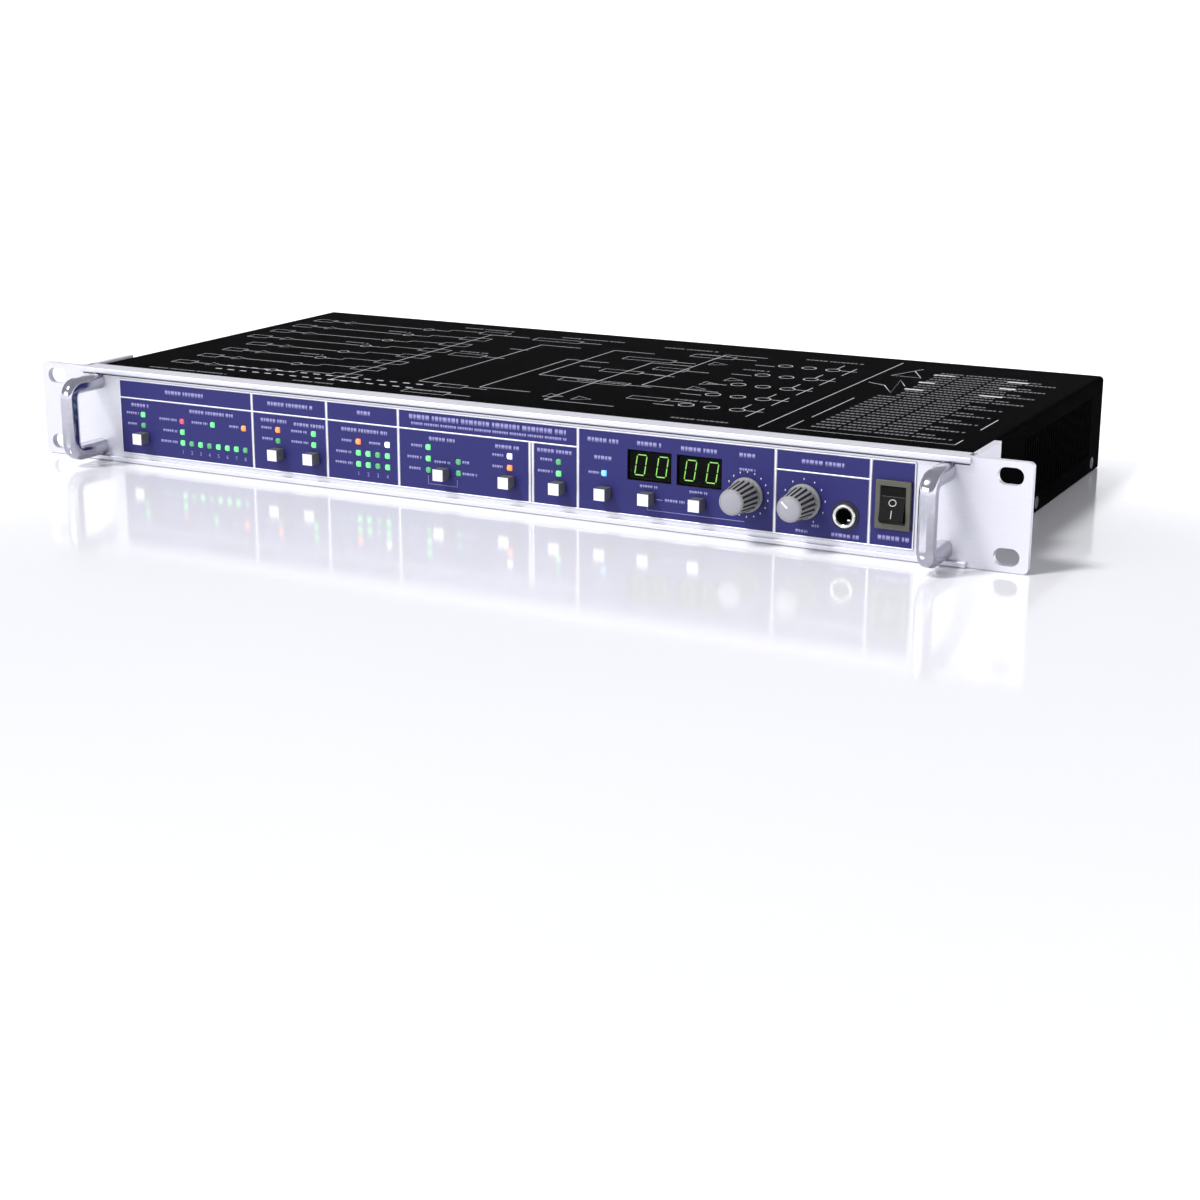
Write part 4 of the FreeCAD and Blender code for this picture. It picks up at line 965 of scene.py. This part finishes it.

# ---- XLR sockets
# Glass-filled nylon shells screwed to the rear panel from outside. The rim of a male cup is
# grey and its tone darkens with depth to a black floor, as painted shade; a female's insert is
# grey with a black ring round it, and its holes are painted black as shade.
def layered(name, layers, grain, rough, **inputs):
    """A finish whose tone changes with the depth behind the rear panel's face."""
    finish, tree, shader, place = new_finish(name, **inputs)
    where = add_node(tree, "ShaderNodeSeparateXYZ", {"Vector": place})
    reach = 4 * mm
    depth = add_node(tree, "ShaderNodeMapRange", {"Value": where.outputs["Y"],
                                                  "From Min": rear_y - reach,
                                                  "From Max": rear_y + reach})
    ramp = add_node(tree, "ShaderNodeValToRGB", {"Fac": depth.outputs["Result"]})
    ramp.color_ramp.interpolation = "CONSTANT"
    for number, (level, code) in enumerate(layers):
        stop = (ramp.color_ramp.elements[number] if number < 2 else
                ramp.color_ramp.elements.new(0.99))
        stop.position = 0 if number == 0 else (level + reach) / (2 * reach)
        stop.color = sheet_colour(code)
    noise = add_node(tree, "ShaderNodeTexNoise", {"Vector": place, "Scale": 1 / grain})
    weak = add_node(tree, "ShaderNodeMath", {0: noise.outputs["Fac"], 1: 0.25},
                    operation="MULTIPLY")
    tint(tree, shader, weak.outputs["Value"], ramp.outputs["Color"], "000000")
    vary_gloss(tree, shader, noise.outputs["Fac"], rough)
    return finish


# Painted shade: the cup darkens with depth, from grey at the rim through dark grey to a black
# floor.
coat(layered("male_cup_nylon_painted_depth_shade", ((0, "070707"), (-1.2 * mm, "29292B"), (0.2 * mm, "3B3B3D")),
             0.6 * mm, (0.4, 0.55), Specular_IOR_Level=0.3), "xlr_male_sockets")
# Painted shade: below the insert's face, in its holes, the tone is black.
coat(layered("female_insert_nylon", ((0, "050505"), (0.3 * mm, "333331"), (1.2 * mm, "141415")),
             0.6 * mm, (0.4, 0.55), Specular_IOR_Level=0.3), "xlr_female_sockets")
# The pins glow a little in their own gold colour: a painted light that keeps them bright in the
# depth of the dark cup.
coat(grained("hard_gold_plate_painted_glow", "C08A30", "DDB055", 0.5 * mm, (0.3, 0.42), Metallic=0.7,
             Emission_Strength=0.32, Emission_Color=sheet_colour("B07A20")), "signal_pins")
coat(grained("dull_zinc_screw", "5E5E60", "7E7E80", 0.5 * mm, (0.3, 0.42), Metallic=1.0),
     "connector_screws")
# The moulding's outer edge catches the light, painted as a thin grey highlight line round each
# socket.
socket_edge_highlight_finish = grained("nylon_edge_painted_highlight", "4A4A4A", "6A6A68", 0.5 * mm, (0.4, 0.5))
socket_z, edge_radius = 18.6, 10.35
females = solids_of("xlr_female_sockets")
edges = [ring_path(middle_of(*box)[0] / mm, socket_z, edge_radius, 48) for box in females]
print_on((females[0][1][1], 1), "female_socket_edge_highlights", edges, 0.4, socket_edge_highlight_finish,
         "black_plastic")
# Each release tab is a nickel-plated zinc casting with chamfered corners.
for number, (low, high) in enumerate(tabs, 1):
    tab = add_block(f"release_tab_{number}", low, high)
    mark_edges(tab, lambda start, end: min(start.z, end.z) > high[2] - 0.1 * mm
               and abs(start.x - end.x) < 1e-6)
    round_seams(tab, 1.1 * mm, segments=1)
    shift_face(tab, faces_back, 0.9 * mm, -0.25 * mm)
    soften(tab, 0.55 * mm)
    finish_piece(tab, nickel_finish, f"latch_tab_{number}", "nickel", f"latch_tab_{number}")

# Every screw head has a cross recess, painted as a dark cross of shadow.
recess_shadow_finish = grained("screw_recess_shadow", "070708", "121214", 0.3 * mm, (0.6, 0.8))
crosses = []
arm, slit = 0.95 * mm, 0.45 * mm
for low, high in solids_of("connector_screws"):
    (x, z), y = middle_of(low, high), high[1]
    crosses += [[(x - arm, y, z), (x + arm, y, z)], [(x, y, z - arm), (x, y, z + arm)]]
print_lines("rear_screw_crosses", crosses, slit, (crosses[0][0][1], 1), recess_shadow_finish, "nickel")
for name, pick in (("left", min), ("right", max)):
    heads = [(low, high) for low, high in solids_of("case_screws")
             if (low[0] > 0) == (name == "right")]
    faces = sorted({round(pick(low[0], high[0]), 5) for low, high in heads}, key=abs)
    for word, face in (("ear", faces[-1]), ("cover", faces[0])):
        crosses = []
        for low, high in heads:
            if abs(pick(low[0], high[0]) - face) < 0.1 * mm:
                y, z = (low[1] + high[1]) / 2, (low[2] + high[2]) / 2
                crosses += [[(face, y - arm, z), (face, y + arm, z)],
                            [(face, y, z - arm), (face, y, z + arm)]]
        print_lines(f"{word}_screw_crosses_{name}", crosses, slit, (face, 0), recess_shadow_finish,
                    "zinc_steel")

# ---- BNC sockets
# Turned brass, nickel plated: a threaded shell with two bayonet studs, a wide washer and a
# hexagonal nut, with a white insulator round the gold-plated contact.
insulator_finish = grained("white_ptfe_insulator", "DEDEDA", "F2F2EE", 0.6 * mm, (0.35, 0.5))
shell_pieces, nut_pieces, insulator_pieces = [], [], []
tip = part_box("bnc_shells")[1][1]
thread, barrel, bore, contact = 6.0 * mm, 4.85 * mm, 4.05 * mm, 1.1 * mm
for low, high in solids_of("bnc_nuts"):
    x, z = middle_of(low, high)
    washer, nut_top, washer_top = (high[0] - low[0]) / 2, high[1], rear_y + 1.0 * mm
    shell_pieces.append(turned("bnc_shell", (x, z), [
        (thread, rear_y - 10 * mm), (thread, nut_top + 0.2 * mm),
        (thread - 0.4 * mm, nut_top + 0.6 * mm), (barrel, nut_top + 0.6 * mm),
        (barrel, tip - 3.2 * mm), (barrel - 0.25 * mm, tip - 3.0 * mm),
        (barrel - 0.25 * mm, tip - 1.6 * mm), (barrel, tip - 1.4 * mm), (barrel, tip - 0.4 * mm),
        (barrel - 0.35 * mm, tip), (bore + 0.15 * mm, tip), (bore, tip - 0.5 * mm),
        (bore, rear_y + 1 * mm)], sides=40))
    for side in (-1, 1):
        stud = turned("bnc_stud", (x, z), [(1.0 * mm, 0), (1.0 * mm, 0.7 * mm),
                                           (0.7 * mm, 0.95 * mm)], sides=16)
        for vertex in stud.data.vertices:
            reach, across, rise = vertex.co.y, vertex.co.x - x, vertex.co.z - z
            vertex.co = (x + side * (barrel - 0.2 * mm + reach), tip - 4.6 * mm + side * across,
                         z + rise)
        shell_pieces.append(stud)
    nut_pieces.append(turned("bnc_washer", (x, z), [
        (thread, rear_y), (washer, rear_y), (washer, rear_y + 0.7 * mm),
        (washer - 0.35 * mm, washer_top), (thread, washer_top)], ring=True))
    nut_pieces.append(turned("bnc_nut", (x, z), [
        (thread, washer_top), (8.0 * mm, washer_top), (8.0 * mm, nut_top - 0.5 * mm),
        (7.4 * mm, nut_top), (thread, nut_top)], sides=6, ring=True))
    insulator_pieces.append(turned("bnc_insulator", (x, z), [
        (contact, rear_y), (2.5 * mm, rear_y), (2.5 * mm, tip - 1.7 * mm),
        (2.3 * mm, tip - 1.5 * mm), (contact, tip - 1.5 * mm)], sides=24, ring=True))


def finish_group(name, pieces, edge, angle, finish, slot, *nodes):
    """Join several shapes into one piece of the case, soften it and give it its finish."""
    whole = join(name, pieces)
    soften(whole, edge, angle=angle)
    finish_piece(whole, finish, "chassis", slot, *nodes)


finish_group("bnc_barrels", shell_pieces, 0.12 * mm, 30, nickel_finish, "nickel", "bnc_shells")
finish_group("bnc_fixings", nut_pieces, 0.12 * mm, 30, nickel_finish, "nickel", "bnc_nuts")
finish_group("bnc_dielectrics", insulator_pieces, 0.12 * mm, 30, insulator_finish,
             "white_insulator", "bnc_insulators")

# ---- Mains inlet
# A snap-in inlet of grey polyamide. The flange is a mid grey and the tone darkens with depth,
# to black in the deep socket, as painted shade. The three flat blades are nickel-plated brass.
coat(layered("inlet_polyamide_painted_depth_shade", ((0, "0B0B0D"), (-1.0 * mm, "26262A"), (0.4 * mm, "4E4E54")),
             0.6 * mm, (0.45, 0.6), Specular_IOR_Level=0.3), "mains_inlet")
coat(grained("dull_nickel_blades", "8C8C88", "ABABA6", 0.6 * mm, (0.3, 0.42), Metallic=1.0),
     "mains_pins")

# ---- D connector, optical ports and termination switch
# The D connector is a pressed, tin-plated shell over a black insert with gold-plated pins.
# The optical ports have grey sprung doors, and the termination switch is a blue push button.
shell_finish = grained("tin_plated_shell", "BEBEBA", "D8D8D4", 0.7 * mm, (0.2, 0.32),
                       Metallic=1.0)
coat(shell_finish, "dsub_shell", "dsub_jackscrews")
coat(jack_finish, "optical_port")
coat(layered("dsub_insert_pbt", ((0, "0A0A0C"), (0.2 * mm, "B08A3A")), 0.5 * mm, (0.35, 0.5)),
     "dsub_insert")
coat(grained("grey_sprung_door", "9A9A9E", "B2B2B6", 0.5 * mm, (0.35, 0.5), relief=0.004 * mm),
     "optical_shutter_left", "optical_shutter_right")
coat(grained("blue_switch_cap", "1F5E9E", "2C72B8", 0.5 * mm, (0.35, 0.5)), "termination_button")

# ---- DIN sockets
# Round sockets with a grey moulded ring, darkening inside with depth as painted shade. A
# contact plate of hard paper lies in the bottom, with the five contacts in an arc below and a
# key slot above, whose holes are painted as dark marks of shadow.
coat(layered("din_nylon", ((0, "080808"), (-1.7 * mm, "0E0E0E"), (0.1 * mm, "3A3A3A")), 0.6 * mm,
             (0.4, 0.55), Specular_IOR_Level=0.3), "din_sockets")
plate_finish = grained("hard_paper_contact_plate", "242422", "343432", 0.4 * mm, (0.45, 0.6))
plates, contacts, hole_shadows = [], [], []
plate_low, plate_face = rear_y - 1.62 * mm, rear_y - 1.2 * mm
for low, high in solids_of("din_sockets"):
    x, z = middle_of(low, high)
    plates.append(turned("contact_plate", (x, z), [
        (6.0 * mm, plate_low), (6.0 * mm, plate_face - 0.15 * mm), (5.8 * mm, plate_face)]))
    hole_shadows.append([(x, plate_face, z + 4.4 * mm), (x, plate_face, z + 5.8 * mm)])
    for k in range(5):
        px, pz = around(x, z, 4.3 * mm, -45 * k)
        contacts.append(turned("din_contact", (px, pz), [
            (0.95 * mm, plate_face - 0.1 * mm), (0.95 * mm, plate_face + 0.15 * mm),
            (0.6 * mm, plate_face + 0.15 * mm), (0.6 * mm, plate_face - 0.1 * mm)],
            sides=16, ring=True))
        hole_shadows.append([(px - 0.3 * mm, plate_face, pz), (px + 0.3 * mm, plate_face, pz)])
finish_group("din_contact_plates", plates, 0, 35, plate_finish, "black_plastic")
finish_group("din_contacts", contacts, 0, 35, shell_finish, "nickel")
print_lines("din_hole_shadows", hole_shadows, 0.9 * mm, (plate_face, 1), recess_shadow_finish, "black_plastic")

# ---- Inside the case
# Three glass-epoxy boards with a green mask on standoffs, their switches and chips, the parts
# of the power supply, and the grey ribbon cable between the front and the main board.
coat(grained("green_solder_mask", "0E3A24", "18563A", 2.0 * mm, (0.3, 0.45),
             relief=0.03 * mm, stretch=(1, 0.15, 1)), "front_board", "main_board", "power_board")
coat(grained("black_epoxy_and_varnish", "1B1B1E", "3A3A40", 9.0 * mm, (0.35, 0.6)),
     "power_components")
coat(grained("black_switch_housing", "121214", "202024", 0.6 * mm, (0.4, 0.55)),
     "button_switches")
coat(shaft_finish, "board_standoffs")
coat(grained("grey_ribbon_vinyl", "8A8A90", "B4B4BA", 1.27 * mm, (0.45, 0.6),
             relief=0.1 * mm, stretch=(1, 0.01, 0.01)), "ribbon_cable")
